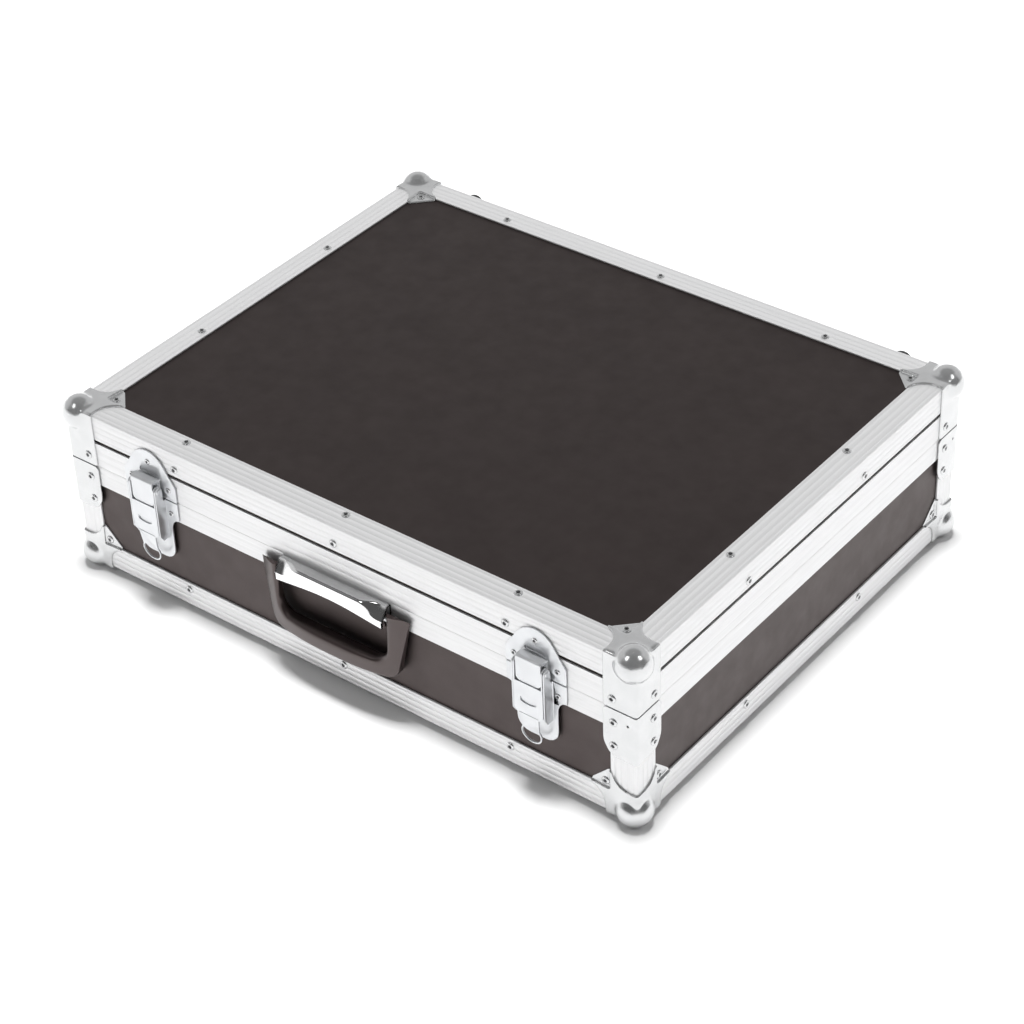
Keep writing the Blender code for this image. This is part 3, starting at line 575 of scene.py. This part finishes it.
def rimSection(height, tongue, creases):
    # Points of (inwards, away from the split)
    rim = rimBar
    gap, wall, depth = rim["gap"], rim["wall"], rim["depth"]
    outer, inner = rim["tongueFrom"], rim["tongueFrom"] + rim["tongueWidth"]
    tipStart = outer + rim["draft"]
    tipEnd = tipStart + rim["tongueTip"]
    face = []
    for middle in sorted(creases, reverse=True):
        half = rim["creaseWidth"] / 2
        face += [(0, middle + half), (rim["creaseDepth"], middle), (0, middle - half)]
    points = [(rim["edge"] / 2, height), (0, height - rim["edge"] / 2)] + face
    points += [(0, gap + rim["edge"]), (rim["edge"] * 0.3, gap + rim["edge"] * 0.3), (rim["edge"], gap)]
    if tongue:
        points += [(outer, gap), (tipStart, gap - rim["tongueDepth"]), (tipEnd, gap - rim["tongueDepth"]),
                   (inner, gap)]
        web = gap + wall
    else:
        play = rim["play"]
        floor = gap + rim["tongueDepth"] + play
        points += [(outer - play, gap), (outer - play, floor), (tipEnd + play, floor), (inner + play, gap)]
        web = floor + wall
    points += [(depth, gap), (depth, rim["innerLeg"]), (depth - wall, rim["innerLeg"]), (depth - wall, web),
               (wall, web), (wall, height)]
    return points


def closedRim(section, up):
    # Section carried round the four corners of the case
    bm = bmesh.new()
    rings = []
    for x, y in ((1, 1), (-1, 1), (-1, -1), (1, -1)):
        verts = [bm.verts.new((x * (halfWidth - inwards), caseY + y * (halfDepth - inwards), splitZ + up * away))
                 for inwards, away in section]
        rings.append([bm.edges.new(pair) for pair in zip(verts, verts[1:] + verts[:1])])
    for ring, following in zip(rings, rings[1:] + rings[:1]):
        bmesh.ops.bridge_loops(bm, edges=ring + following)
    bmesh.ops.recalc_face_normals(bm, faces=bm.faces)
    mapAlong(bm)
    return bm


def buildRims():
    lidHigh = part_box("lid_rim")[1].z - splitZ
    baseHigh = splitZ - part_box("base_rim")[0].z
    newPiece("lid_closing_rim", closedRim(rimSection(lidHigh, True, rimBar["lidCreases"]), 1), aluminium, "lid",
             ["lid_rim"])
    newPiece("base_closing_rim", closedRim(rimSection(baseHigh, False, rimBar["baseCreases"]), -1), aluminium,
             "base", ["base_rim"])


# Blind rivets: a domed ring round the end of its pulled pin, whose near-black colour is painted shade in the hole

rivet = {"radius": 0.0034, "dome": 0.0011, "hole": 0.0015, "depth": 0.0010, "under": 0.0003, "around": 16,
         "pinUnder": 0.0001, "pinAround": 12, "front": (-0.155, 0, 0.155), "side": (-0.0755, 0.0755),
         "inset": 0.0157}
rivetSpots = {"lid": [], "base": []}


def addRivet(shell, place, scale=1.0):
    rivetSpots[shell].append((place, scale))


def rivetShape(place, scale):
    # Floor of the hole, its wall and lip, the falling dome, and the underside
    r, h, hole, deep = (rivet[key] * scale for key in ("radius", "dome", "hole", "depth"))
    profile = [(0, h - deep), (hole * 0.9, h - deep), (hole, h - deep * 0.8), (hole * 1.05, h * 0.95),
               (hole * 1.3, h), (r * 0.60, h * 0.95), (r * 0.82, h * 0.74), (r * 0.96, h * 0.38),
               (r, 0), (r, -rivet["under"]), (0, -rivet["under"])]
    return turned(profile, place, rivet["around"])


def pinShape(place, scale):
    # Broken end, highest in the middle
    h, hole, deep = (rivet[key] * scale for key in ("dome", "hole", "depth"))
    low = h - deep
    under = low - rivet["pinUnder"]
    profile = [(0, low + deep * 0.45), (hole * 0.45, low + deep * 0.40), (hole * 0.7, low + deep * 0.2),
               (hole * 0.98, low + deep * 0.12), (hole * 0.98, under), (0, under)]
    return turned(profile, place, rivet["pinAround"])


def markEdgeRivets():
    inset = rivet["inset"]
    for side in sides:
        for along in rivet["front" if side in ("front", "rear") else "side"]:
            inwards = Matrix.Translation((along, inset, 0))
            addRivet("lid", sidePlace(side, topZ) @ inwards)
            addRivet("lid", facePlace(side, along, topZ - inset))
            addRivet("base", sidePlace(side, bottomZ) @ inwards @ turnedOver)
            addRivet("base", facePlace(side, along, bottomZ + inset))


def buildRivets():
    for shell, spots in rivetSpots.items():
        newPiece(f"{shell}_blind_rivets", gathered([rivetShape(*spot) for spot in spots]), zinc, shell)
        # The pins' near-black finish is painted shade in the rivets' holes
        newPiece(f"{shell}_rivet_pins", gathered([pinShape(*spot) for spot in spots]), pinHoleShadeSteel, shell)


# Pressed ball corners and the braces below the split

# wing: one half of the raised part, hollow sides out to a tip and back to the V that holds the foot
ballCap = {"ball": 0.014, "inset": 0.007, "out": 0.0015, "backing": 0.0010, "fold": 0.0026, "leg": 0.027,
           "legFoot": 0.0022, "footTop": 0.0007, "footUnder": 0.0023, "flat": 0.006, "grain": 0.00055,
           "passes": 5, "fillet": 26, "filletIn": 0.0004, "filletOut": 0.0030, "filletLow": -0.0046,
           "keep": 0.35, "gap": 0.0002, "rivet": 0.0270, "legRivet": (0.019, 0.0088),
           "wing": [(0.0265, -0.0015), (0.0265, 0.0060), (0.0271, 0.0100), (0.0287, 0.0138), (0.0315, 0.0171),
                    (0.0350, 0.0196), (0.0385, 0.0212), (0.0392, 0.0222), (0.0380, 0.0231), (0.0300, 0.0226),
                    (0.0243, 0.0222)],
           "wingNotch": (0.0226, 0.0226),
           "foot": [(0.0215, 0.0215), (0.0385, 0.0222), (0.0393, 0.0232), (0.0388, 0.0246), (0.0246, 0.0388),
                    (0.0232, 0.0393), (0.0222, 0.0385)]}


def wingParts(plane):
    cap = ballCap
    out, half = cap["out"], cap["wing"]
    wing = [(-out, -out)] + half + [cap["wingNotch"]] + [(y, x) for x, y in reversed(half)]
    return [prism(wing, -out, cap["backing"], plane),
            prism(cap["foot"], cap["footTop"], cap["footUnder"], plane)]


def foldedBlock(size, down=None):
    # Big block whose edges at the case's corner are rounded like a fold; down opens it at the bottom
    out = ballCap["out"]
    bm = block((-out, -out, -out if down is None else -down), (size, size, size))
    near = [edge for edge in bm.edges
            if sum(all(vert.co[axis] < -out / 2 for vert in edge.verts) for axis in (0, 1, 2)) == 2
            and (down is None or all(vert.co.x < 0 and vert.co.y < 0 for vert in edge.verts))]
    roundEdges(bm, near, ballCap["fold"])
    return bm


def capShape(parts, flat):
    cap = ballCap
    sheets = [combined(part, foldedBlock(0.08), 'INTERSECT') for part in parts]
    ball = bmesh.new()
    bmesh.ops.create_uvsphere(ball, u_segments=40, v_segments=24, radius=cap["ball"],
                              matrix=Matrix.Translation([cap["inset"]] * 3))
    ball = combined(ball, block([cap["backing"]] * 3, [0.05] * 3), 'DIFFERENCE')
    if flat:
        ball = combined(ball, block([-0.05] * 3, (0.05, 0.05, -cap["flat"])), 'DIFFERENCE')
    bm = pressed(sheets + [ball], cap["grain"], cap["passes"])
    # Wider fillet where the ball rises out of the sheet
    middle = Vector([cap["inset"]] * 3)
    near, far = cap["ball"] - cap["filletIn"], cap["ball"] + cap["filletOut"]
    ring = [vert for vert in bm.verts
            if near < (vert.co - middle).length < far and min(vert.co) > cap["filletLow"]]
    relax(bm, ring, cap["fillet"])
    if flat:
        for vert in bm.verts:
            vert.co.z = max(vert.co.z, -cap["flat"])
    return thinned(bm, cap["keep"])


def buildBallCorners():
    cap = ballCap
    over = Matrix.Diagonal((1, 1, -1, 1))
    drop = topZ - splitZ - cap["gap"]
    leg = rounded([(-cap["out"], -cap["out"], 0), (cap["leg"], -cap["out"], 0), (cap["leg"], drop, cap["legFoot"]),
                   (-cap["out"], drop, 0)])
    lidParts = wingParts(cornerFaces[0])
    lidParts += [prism(leg, -cap["out"], cap["backing"], plane) for plane in cornerFaces[1:]]
    wingSpot = Matrix.Translation((cap["rivet"], cap["rivet"], cap["footTop"])) @ turnedOver
    legAlong, legDown = cap["legRivet"]
    legSpot = Matrix.Translation((legAlong, drop - legDown, -cap["out"])) @ turnedOver
    lidCap = capShape(lidParts, False)
    baseCap = capShape([part for plane in cornerFaces for part in wingParts(plane)], True)
    shells = (("lid", lidCap, topZ, over, (wingSpot, legSpot, legSpot)),
              ("base", baseCap, bottomZ, Matrix(), [wingSpot] * 3))
    for corner in corners:
        for shell, shape, height, way, spots in shells:
            place = cornerPlace(corner, height) @ way
            newPiece(f"{shell}_{corner}_ball_cap", moved(shape.copy(), place), zinc, shell,
                     [f"{shell}_corner_{corner}"], sharp=60)
            for plane, spot in zip(cornerFaces, spots):
                addRivet(shell, place @ plane @ spot)


brace = {"height": 0.042, "leg": 0.027, "topRound": 0.0035, "cut": 0.0064, "cutHigh": 0.0105, "footRound": 0.009,
         "sideRound": 0.016, "under": 0.0003, "rivetAt": ((0.0182, 0.0117), (0.0182, 0.0325)),
         "dimple": 0.0009, "dimpleAt": (0.0062, 0.0097), "edge": 0.0003}


def buildBraces():
    out = ballCap["out"]
    low, leg = -brace["height"], brace["leg"]
    outline = rounded([(-out, low, 0), (leg - brace["cut"], low, brace["footRound"]),
                       (leg, low + brace["cutHigh"], brace["sideRound"]), (leg, -brace["under"], brace["topRound"]),
                       (-out, -brace["under"], 0)], 6)
    legs = [prism(outline, -out, -brace["under"], plane) for plane in cornerFaces[1:]]
    shape = combined(combined(*legs, 'UNION'), foldedBlock(0.08, 0.06), 'INTERSECT')
    for plane in cornerFaces[1:]:
        along, down = brace["dimpleAt"]
        hole = rod(brace["dimple"], -0.004, 0.001, plane @ Matrix.Translation((along, -down, 0)), 14)
        shape = combined(shape, hole, 'DIFFERENCE')
    for corner in corners:
        place = cornerPlace(corner, splitZ)
        newPiece(f"base_{corner}_side_brace", moved(shape.copy(), place), zinc, "base", [f"base_brace_{corner}"],
                 edge=brace["edge"])
        for plane in cornerFaces[1:]:
            for along, down in brace["rivetAt"]:
                addRivet("base", place @ plane @ Matrix.Translation((along, -down, -out)) @ turnedOver)


# Draw latches: X along the front, Y up from the split, Z out of the front face

latch = {"linkUp": 0.0007, "linkOut": 0.0069, "out": 0.0015, "hookHalf": 0.0108, "hookSheet": 0.0012,
         "knuckle": 0.0034, "fingerUnder": 0.0167, "finger": 0.0052, "fold": 0.0022, "linkBore": 0.0019,
         "hookFoot": 0.0045, "lipLow": -0.0040, "hookTrim": 0.0001, "ribTop": -0.0172, "ribLow": -0.0200,
         "ribHalf": 0.0070, "ribBelly": 0.0022, "ribDeep": 0.0009, "coverOut": 0.0111, "tabHole": 0.0078,
         "tabDrop": 0.0505, "bend": -0.0335, "tilt": 8, "pocketHalf": 0.0090, "pocketFoot": 0.0185,
         "pocketTop": 0.0255, "pocketDeep": 0.0007, "softEdge": 0.0010, "hookEdge": 0.00025, "plateEdge": 0.0002,
         "rivet": 0.74, "rivets": {"lid": ((0, 0.0287), (-0.0188, 0.0098), (0.0188, 0.0098)),
                                   "base": ((-0.0188, -0.0118), (0.0188, -0.0118))}}


def halfOval(half, foot, rise, step):
    return [(half * cos(radians(a)), foot + rise * sin(radians(a))) for a in range(0, 181, step)]


def hookShape():
    # Cover plate with its finger folded over the catch and its foot curled round the link pin
    use = latch
    outer = use["linkOut"] + use["knuckle"]
    inner = outer - use["hookSheet"]
    under = use["fingerUnder"]
    top = under + use["hookSheet"]
    fold = use["fold"]
    start = degrees(acos((inner - use["linkOut"]) / use["knuckle"]))
    section = arc((outer - fold, top - fold), fold, 0, 90, 6)
    section += [(inner - use["finger"], top), (inner - use["finger"], under)]
    section += arc((inner - fold / 2, under - fold / 2), fold / 2, 90, 0, 4)
    section += arc((use["linkOut"], use["linkUp"]), use["knuckle"], start, 360, 20)
    low, half = use["lipLow"], use["hookHalf"]
    bm = prism(section, -half, half, sectionPlane)
    bm = combined(bm, block((-half, low - 0.001, inner), (half, use["linkUp"] + 0.001, outer)), 'UNION')
    half += use["hookTrim"]
    mask = rounded([(half, 0.03, 0), (half, low, use["hookFoot"]), (-half, low, use["hookFoot"]),
                    (-half, 0.03, 0)], 6)
    bm = combined(bm, prism(mask, -0.01, 0.03), 'INTERSECT')
    bore = Matrix.Translation((0, use["linkUp"], use["linkOut"])) @ acrossX
    return combined(bm, rod(use["linkBore"], -0.03, 0.03, bore), 'DIFFERENCE')


def plateShape(node, place):
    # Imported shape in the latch's own axes, with the wide soft edge of a stamped plate round its front
    bm = moved(carriedShape(node), place.inverted())
    outline = [edge for edge in bm.edges if all(abs(vert.co.z - latch["out"]) < 1e-5 for vert in edge.verts)
               and any(face.normal.z < 0.5 for face in edge.link_faces)
               and any(face.normal.z > 0.9 for face in edge.link_faces)]
    roundEdges(bm, outline, latch["softEdge"], clamp=True)
    return bm


def leverShape(node, place):
    # Packed lever with a pressed half-moon in its cover and a finger hole in its tab
    use = latch
    bm = moved(carriedShape(node), place.inverted())
    half, out = use["ribHalf"], use["coverOut"]
    moon = [(half, use["ribTop"])] + halfOval(half, use["ribLow"], -use["ribBelly"], 30) + [(-half, use["ribTop"])]
    bm = combined(bm, prism(moon, out - use["ribDeep"], out + 0.002), 'DIFFERENCE')
    lean = Matrix.Translation((0, use["bend"], out)) @ Matrix.Rotation(radians(use["tilt"]), 4, 'X')
    hole = rod(use["tabHole"], -0.004, 0.004, lean @ Matrix.Translation((0, -use["tabDrop"] - use["bend"], 0)), 40)
    return combined(bm, hole, 'DIFFERENCE')


def keeperShape(node, place):
    # Packed catch plate with a pressed arch above its shelf
    use = latch
    foot, out = use["pocketFoot"], use["out"]
    arch = halfOval(use["pocketHalf"], foot, use["pocketTop"] - foot, 20)
    return combined(plateShape(node, place), prism(arch, out - use["pocketDeep"], out + 0.002), 'DIFFERENCE')


def buildLatches():
    use = latch
    for name in ("left", "right"):
        low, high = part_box(f"latch_{name}_plate")
        place = facePlace("front", (low.x + high.x) / 2, splitZ)
        lever, hook, keeper, plate = (f"latch_{name}_{part}" for part in ("lever", "hook", "keeper", "plate"))
        newPiece(f"{hook}_plate", moved(hookShape(), place), latchSteel, hook, [hook], edge=use["hookEdge"])
        newPiece(f"{lever}_sheet", moved(leverShape(lever, place), place), latchSteel, lever, [lever],
                 edge=use["hookEdge"])
        newPiece(f"latch_{name}_catch_plate", moved(keeperShape(keeper, place), place), latchSteel, "lid", [keeper],
                 edge=use["plateEdge"])
        newPiece(f"latch_{name}_base_plate", moved(plateShape(plate, place), place), latchSteel, "base", [plate],
                 edge=use["plateEdge"])
        for shell, spots in use["rivets"].items():
            for x, y in spots:
                addRivet(shell, place @ Matrix.Translation((x, y, use["out"])), use["rivet"])


# Handle: a chrome strap over a moulded grip

strap = {"half": 0.0508, "reach": 0.0110, "back": 0.0003, "backRound": 0.0008, "top": -0.0005, "low": -0.0165,
         "arch": 0.0042, "archPower": 1.3, "sheet": 0.0011, "lipDrop": 0.0108, "lipRound": 0.0012, "bend": 0.0036,
         "bendSteps": 12, "fall": 0.04, "endCrest": 0.0045, "dish": 0.0003, "shoulderFrom": 0.028,
         "shoulderTo": 0.045, "stations": 60}


def strapSection(x):
    # Points of (out, up) from the foot of the back, over the top and down the front lip
    use = strap
    share = min(1, max(0, (abs(x) - use["shoulderFrom"]) / (use["shoulderTo"] - use["shoulderFrom"])))
    share = share * share * (3 - 2 * share)
    back, bend, reach, top = use["back"], use["bend"], use["reach"], use["top"]
    lipTop = top - bend - (use["lipDrop"] - bend) * share
    lipLow = use["low"] + use["arch"] * max(0, cos(pi / 2 * x / use["half"])) ** use["archPower"]
    crest = reach - bend - (reach - bend - use["endCrest"]) * share
    crestTop = top - (crest - back) * use["fall"]
    points = [(back, use["low"]), (back, top - use["backRound"]), (back + use["backRound"], top),
              ((back + crest) / 2, (top + crestTop) / 2)]
    # The bend swells outwards in the middle and is slightly dished at the ends
    start, end = Vector((crest, crestTop)), Vector((reach, lipTop))
    swollen, dished = Vector((reach, crestTop)), (start + end) / 2 - Vector((use["dish"], use["dish"]))
    middle = swollen.lerp(dished, share)
    for i in range(use["bendSteps"] + 1):
        t = i / use["bendSteps"]
        points.append(tuple(start * (1 - t) ** 2 + middle * 2 * t * (1 - t) + end * t * t))
    return points + [(reach, lipTop - use["lipRound"]), (reach, (lipTop + lipLow) / 2), (reach, lipLow)]


def strapShape():
    use = strap
    bm = bmesh.new()
    rows = []
    for i in range(use["stations"] + 1):
        x = use["half"] * (2 * i / use["stations"] - 1)
        verts = [bm.verts.new((x, up, out)) for out, up in strapSection(x)]
        rows.append([bm.edges.new(pair) for pair in zip(verts, verts[1:])])
    for row, following in zip(rows, rows[1:]):
        bmesh.ops.bridge_loops(bm, edges=row + following)
    bmesh.ops.recalc_face_normals(bm, faces=bm.faces)
    top = max(bm.faces, key=lambda face: face.calc_center_median().y)
    if top.normal.y < 0:
        bmesh.ops.reverse_faces(bm, faces=bm.faces)
    bmesh.ops.solidify(bm, geom=bm.faces, thickness=use["sheet"])
    cheeks = [prism(strapSection(use["half"]), start, start + use["sheet"], sectionPlane)
              for start in (-use["half"], use["half"] - use["sheet"])]
    return gathered([bm] + cheeks)


grip = {"half": 0.0703, "footHalf": 0.0585, "top": -0.0061, "height": 0.0560, "armInner": 0.0513, "bar": 0.0140,
        "back": 0.0015, "reach": 0.0145, "edgeReach": 0.0020, "belly": 2.5, "roundness": 0.8,
        "outerRound": 0.010, "windowRound": 0.0135, "outerEdge": 0.0012, "innerEdge": 0.0052, "innerBack": 0.0034,
        "most": 0.45, "mostHigh": 0.55, "mostLow": 0.40, "edge": 0.0006, "straightSteps": 12, "turnSteps": 10,
        "notch": 0.0045, "pivotDrop": 0.0108, "pivotOut": 0.0055, "pinBore": 0.0023, "boreReach": 0.0569}


def uPath(half, foot, top, low, radius):
    # Down one arm, round, along the bar and up the other, with the same number of points on every path
    straight, bend = grip["straightSteps"], grip["turnSteps"]
    a, b = Vector((half, top)), Vector((foot, low))
    down = (a - b).normalized()
    turn = down.angle(Vector((-1, 0)))
    reach = radius / (sin(turn / 2) / cos(turn / 2))
    start, end = b + down * reach, b + Vector((-reach, 0))
    middle = b + (down + Vector((-1, 0))).normalized() * (radius / sin(turn / 2))
    points = [a.lerp(start, t / straight) for t in range(straight)]
    first = start - middle
    swing = first.angle_signed(end - middle)
    points += [middle + Matrix.Rotation(-swing * t / bend, 2) @ first for t in range(bend + 1)]
    points += [end.lerp(Vector((0, low)), t / straight) for t in range(1, straight + 1)]
    return points + [Vector((-point.x, point.y)) for point in reversed(points[:-1])]


def gripFront(x):
    share = max(0, 1 - abs(x / grip["half"]) ** grip["belly"]) ** grip["roundness"]
    return grip["edgeReach"] + (grip["reach"] - grip["edgeReach"]) * share


def gripRing(outer, inner):
    # Section of a bar: nearly square outside, rolled over towards the hand inside
    use = grip
    width = (inner - outer).length
    back = use["back"]

    def spot(across, out):
        place = outer.lerp(inner, across / width)
        return place.x, place.y, out

    def frontSpot(across, drop=0):
        return spot(across, gripFront(outer.lerp(inner, across / width).x) - drop)

    high = gripFront(outer.x)
    edge = min(use["outerEdge"], use["most"] * (high - back))
    ring = [spot(0, back), spot(0, high - edge)]
    for a in (22.5, 45, 67.5, 90):
        ring.append(frontSpot(edge * (1 - cos(radians(a))), edge * (1 - sin(radians(a)))))
    roll = min(use["innerEdge"], use["most"] * width)
    ring += [frontSpot(edge + (width - roll - edge) * share) for share in (0.25, 0.5, 0.75)]
    low = min(use["innerBack"], use["most"] * width)
    tall = gripFront(inner.x) - back
    rollHigh, rollLow = min(roll, use["mostHigh"] * tall), min(low, use["mostLow"] * tall)
    for a in (0, 15, 30, 45, 60, 75, 90):
        ring.append(frontSpot(width - roll + roll * sin(radians(a)), rollHigh * (1 - cos(radians(a)))))
    for a in (0, 22.5, 45, 67.5, 90):
        ring.append(spot(width - low * (1 - cos(radians(a))), back + rollLow * (1 - sin(radians(a)))))
    return ring


def gripShape():
    use = grip
    low = use["top"] - use["height"]
    outer = uPath(use["half"], use["footHalf"], use["top"], low, use["outerRound"])
    inner = uPath(use["armInner"], use["armInner"], use["top"], low + use["bar"], use["windowRound"])
    bm = bmesh.new()
    rings = []
    for one, other in zip(outer, inner):
        verts = [bm.verts.new(spot) for spot in gripRing(one, other)]
        rings.append((verts, [bm.edges.new(pair) for pair in zip(verts, verts[1:] + verts[:1])]))
    for (_, ring), (_, following) in zip(rings, rings[1:]):
        bmesh.ops.bridge_loops(bm, edges=ring + following)
    for verts, _ in (rings[0], rings[-1]):
        bm.faces.new(verts)
    # The back corner of the arms' tops is cut away so that the grip can swing up
    cut = bmesh.ops.bisect_plane(bm, geom=bm.verts[:] + bm.edges[:] + bm.faces[:], clear_outer=True,
                                 plane_co=(0, use["top"] - use["notch"], 0), plane_no=(0, 1, -1))
    rim = [item for item in cut["geom_cut"] if isinstance(item, bmesh.types.BMEdge)]
    bmesh.ops.holes_fill(bm, edges=rim)
    bmesh.ops.recalc_face_normals(bm, faces=bm.faces)
    bore = Matrix.Translation((0, -use["pivotDrop"], use["pivotOut"])) @ acrossX
    return combined(bm, rod(use["pinBore"], -use["boreReach"], use["boreReach"], bore), 'DIFFERENCE')


def buildHandle():
    place = facePlace("front", 0, splitZ)
    newPiece("handle_chrome_strap", moved(strapShape(), place), chrome, "base", ["handle_bracket"], sharp=55)
    newPiece("handle_moulded_grip", moved(gripShape(), place), gripPlastic, "handle", ["handle_grip"], sharp=50,
             edge=grip["edge"], segments=3)


# Hinges, rubber feet and foam

def buildHinges():
    leaf = {"rivetUp": 0.0195, "rivets": (-0.017, 0, 0.017), "out": 0.0018, "rivet": 0.85, "edge": 0.0002}
    for name in ("left", "right"):
        low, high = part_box(f"hinge_{name}_lid_leaf")
        place = facePlace("rear", -(low.x + high.x) / 2, splitZ)
        newPiece(f"hinge_{name}_pin_steel", carriedShape(f"hinge_{name}_pin"), zinc, "base", [f"hinge_{name}_pin"])
        for shell, sign in (("lid", 1), ("base", -1)):
            newPiece(f"hinge_{name}_{shell}_leaf_steel", carriedShape(f"hinge_{name}_{shell}_leaf"), zinc, shell,
                     [f"hinge_{name}_{shell}_leaf"], edge=leaf["edge"])
            for x in leaf["rivets"]:
                addRivet(shell, place @ Matrix.Translation((x, sign * leaf["rivetUp"], leaf["out"])), leaf["rivet"])


def buildFeet():
    # rim: the rounded edge of the tip, measured from its radius and end; screw: its head, above the recess's floor
    foot = {"radius": 0.0098, "tip": 0.0090, "under": 0.0003, "straight": 0.25, "recess": 0.0042, "deep": 0.0045,
            "rim": ((0.0003, 0.0014), (-0.0002, 0.0004), (-0.0010, 0)), "lip": (0.0008, 0.0006),
            "screw": ((0, 0.0016), (0.0012, 0.0015), (0.0026, 0.0010), (0.0033, 0.0002), (0.0033, -0.0002),
                      (0, -0.0002)), "around": 32, "screwAround": 20}
    radius, hole = foot["radius"], foot["recess"]
    for shell in ("lid", "base"):
        for name in ("left", "right"):
            low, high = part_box(f"{shell}_{name}_foot")
            middle = (low + high) / 2
            reach = high.y - rearY
            floor = reach - foot["deep"]
            profile = [(0, foot["under"]), (radius, foot["under"]), (radius, reach * foot["straight"])]
            profile += [(foot["tip"] + wider, reach - lower) for wider, lower in foot["rim"]]
            profile += [(hole + foot["lip"][0], reach), (hole, reach - foot["lip"][1]), (hole, floor), (0, floor)]
            screw = [(r, floor + up) for r, up in foot["screw"]]
            place = facePlace("rear", -middle.x, middle.z)
            newPiece(f"{shell}_{name}_rubber_foot", turned(profile, place, foot["around"]), rubber, shell,
                     [f"{shell}_{name}_foot"])
            newPiece(f"{shell}_{name}_foot_screw", turned(screw, place, foot["screwAround"]), zinc, shell)


def buildLidFoam():
    # Egg-crate pad: bumps hang down from a flat back
    pad = {"pitch": 0.026, "grid": 0.0042, "valley": 0.011, "rim": 0.010, "rimShare": 0.35, "spare": 0.0002}
    low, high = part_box("lid_foam")
    size = high - low
    bm = bmesh.new()
    bmesh.ops.create_grid(bm, x_segments=int(size.x / pad["grid"]), y_segments=int(size.y / pad["grid"]), size=0.5)
    for vert in bm.verts:
        x, y = (vert.co.x + 0.5) * size.x, (vert.co.y + 0.5) * size.y
        wave = 0.5 + 0.5 * sin(pi * x / pad["pitch"]) * sin(pi * y / pad["pitch"])
        near = min(x, y, size.x - x, size.y - y)
        wave *= min(1, pad["rimShare"] + near / pad["rim"])
        drop = pad["valley"] + (size.z - pad["valley"] - pad["spare"]) * wave
        vert.co = (low.x + x, low.y + y, high.z - drop)
    edges = [edge for edge in bm.edges if edge.is_boundary]
    lifted = bmesh.ops.extrude_edge_only(bm, edges=edges)["geom"]
    for item in lifted:
        if isinstance(item, bmesh.types.BMVert):
            item.co.z = high.z
    bmesh.ops.holes_fill(bm, edges=[item for item in lifted if isinstance(item, bmesh.types.BMEdge)])
    newPiece("lid_egg_crate_foam", bm, foam, "lid", ["lid_foam"], sharp=60)


def buildBaseFoam():
    # A floor pad with four wall pads standing on it
    tray = {"wall": 0.012, "floor": 0.015, "gap": 0.0004, "edge": 0.0016}
    low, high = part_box("base_foam")
    gap, wall = tray["gap"], tray["wall"]
    rise = low.z + tray["floor"]
    pads = [block(low, (high.x, high.y, rise - gap)),
            block((low.x, low.y, rise), (high.x, low.y + wall, high.z)),
            block((low.x, high.y - wall, rise), high),
            block((low.x, low.y + wall + gap, rise), (low.x + wall, high.y - wall - gap, high.z)),
            block((high.x - wall, low.y + wall + gap, rise), (high.x, high.y - wall - gap, high.z))]
    newPiece("base_tray_foam", gathered(pads), foam, "base", ["base_foam"], edge=tray["edge"],
                       segments=3)


def dressBoards():
    # Boards and the handle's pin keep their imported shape
    for name, node in nodes.items():
        if name.endswith(("_board", "_panel")) or name == "handle_pin":
            for slot in node.material_slots:
                slot.material = zinc if name == "handle_pin" else laminate


addCamera()
addFloor()
addRoom()
print("camera and light set")
buildEdges()
buildRims()
markEdgeRivets()
print("bars and rims built")
buildBallCorners()
buildBraces()
print("corners built")
buildLatches()
buildHandle()
buildHinges()
buildRivets()
print("latches, handle, hinges and rivets built")
buildFeet()
buildLidFoam()
buildBaseFoam()
dressBoards()
print("feet, foam and boards built")
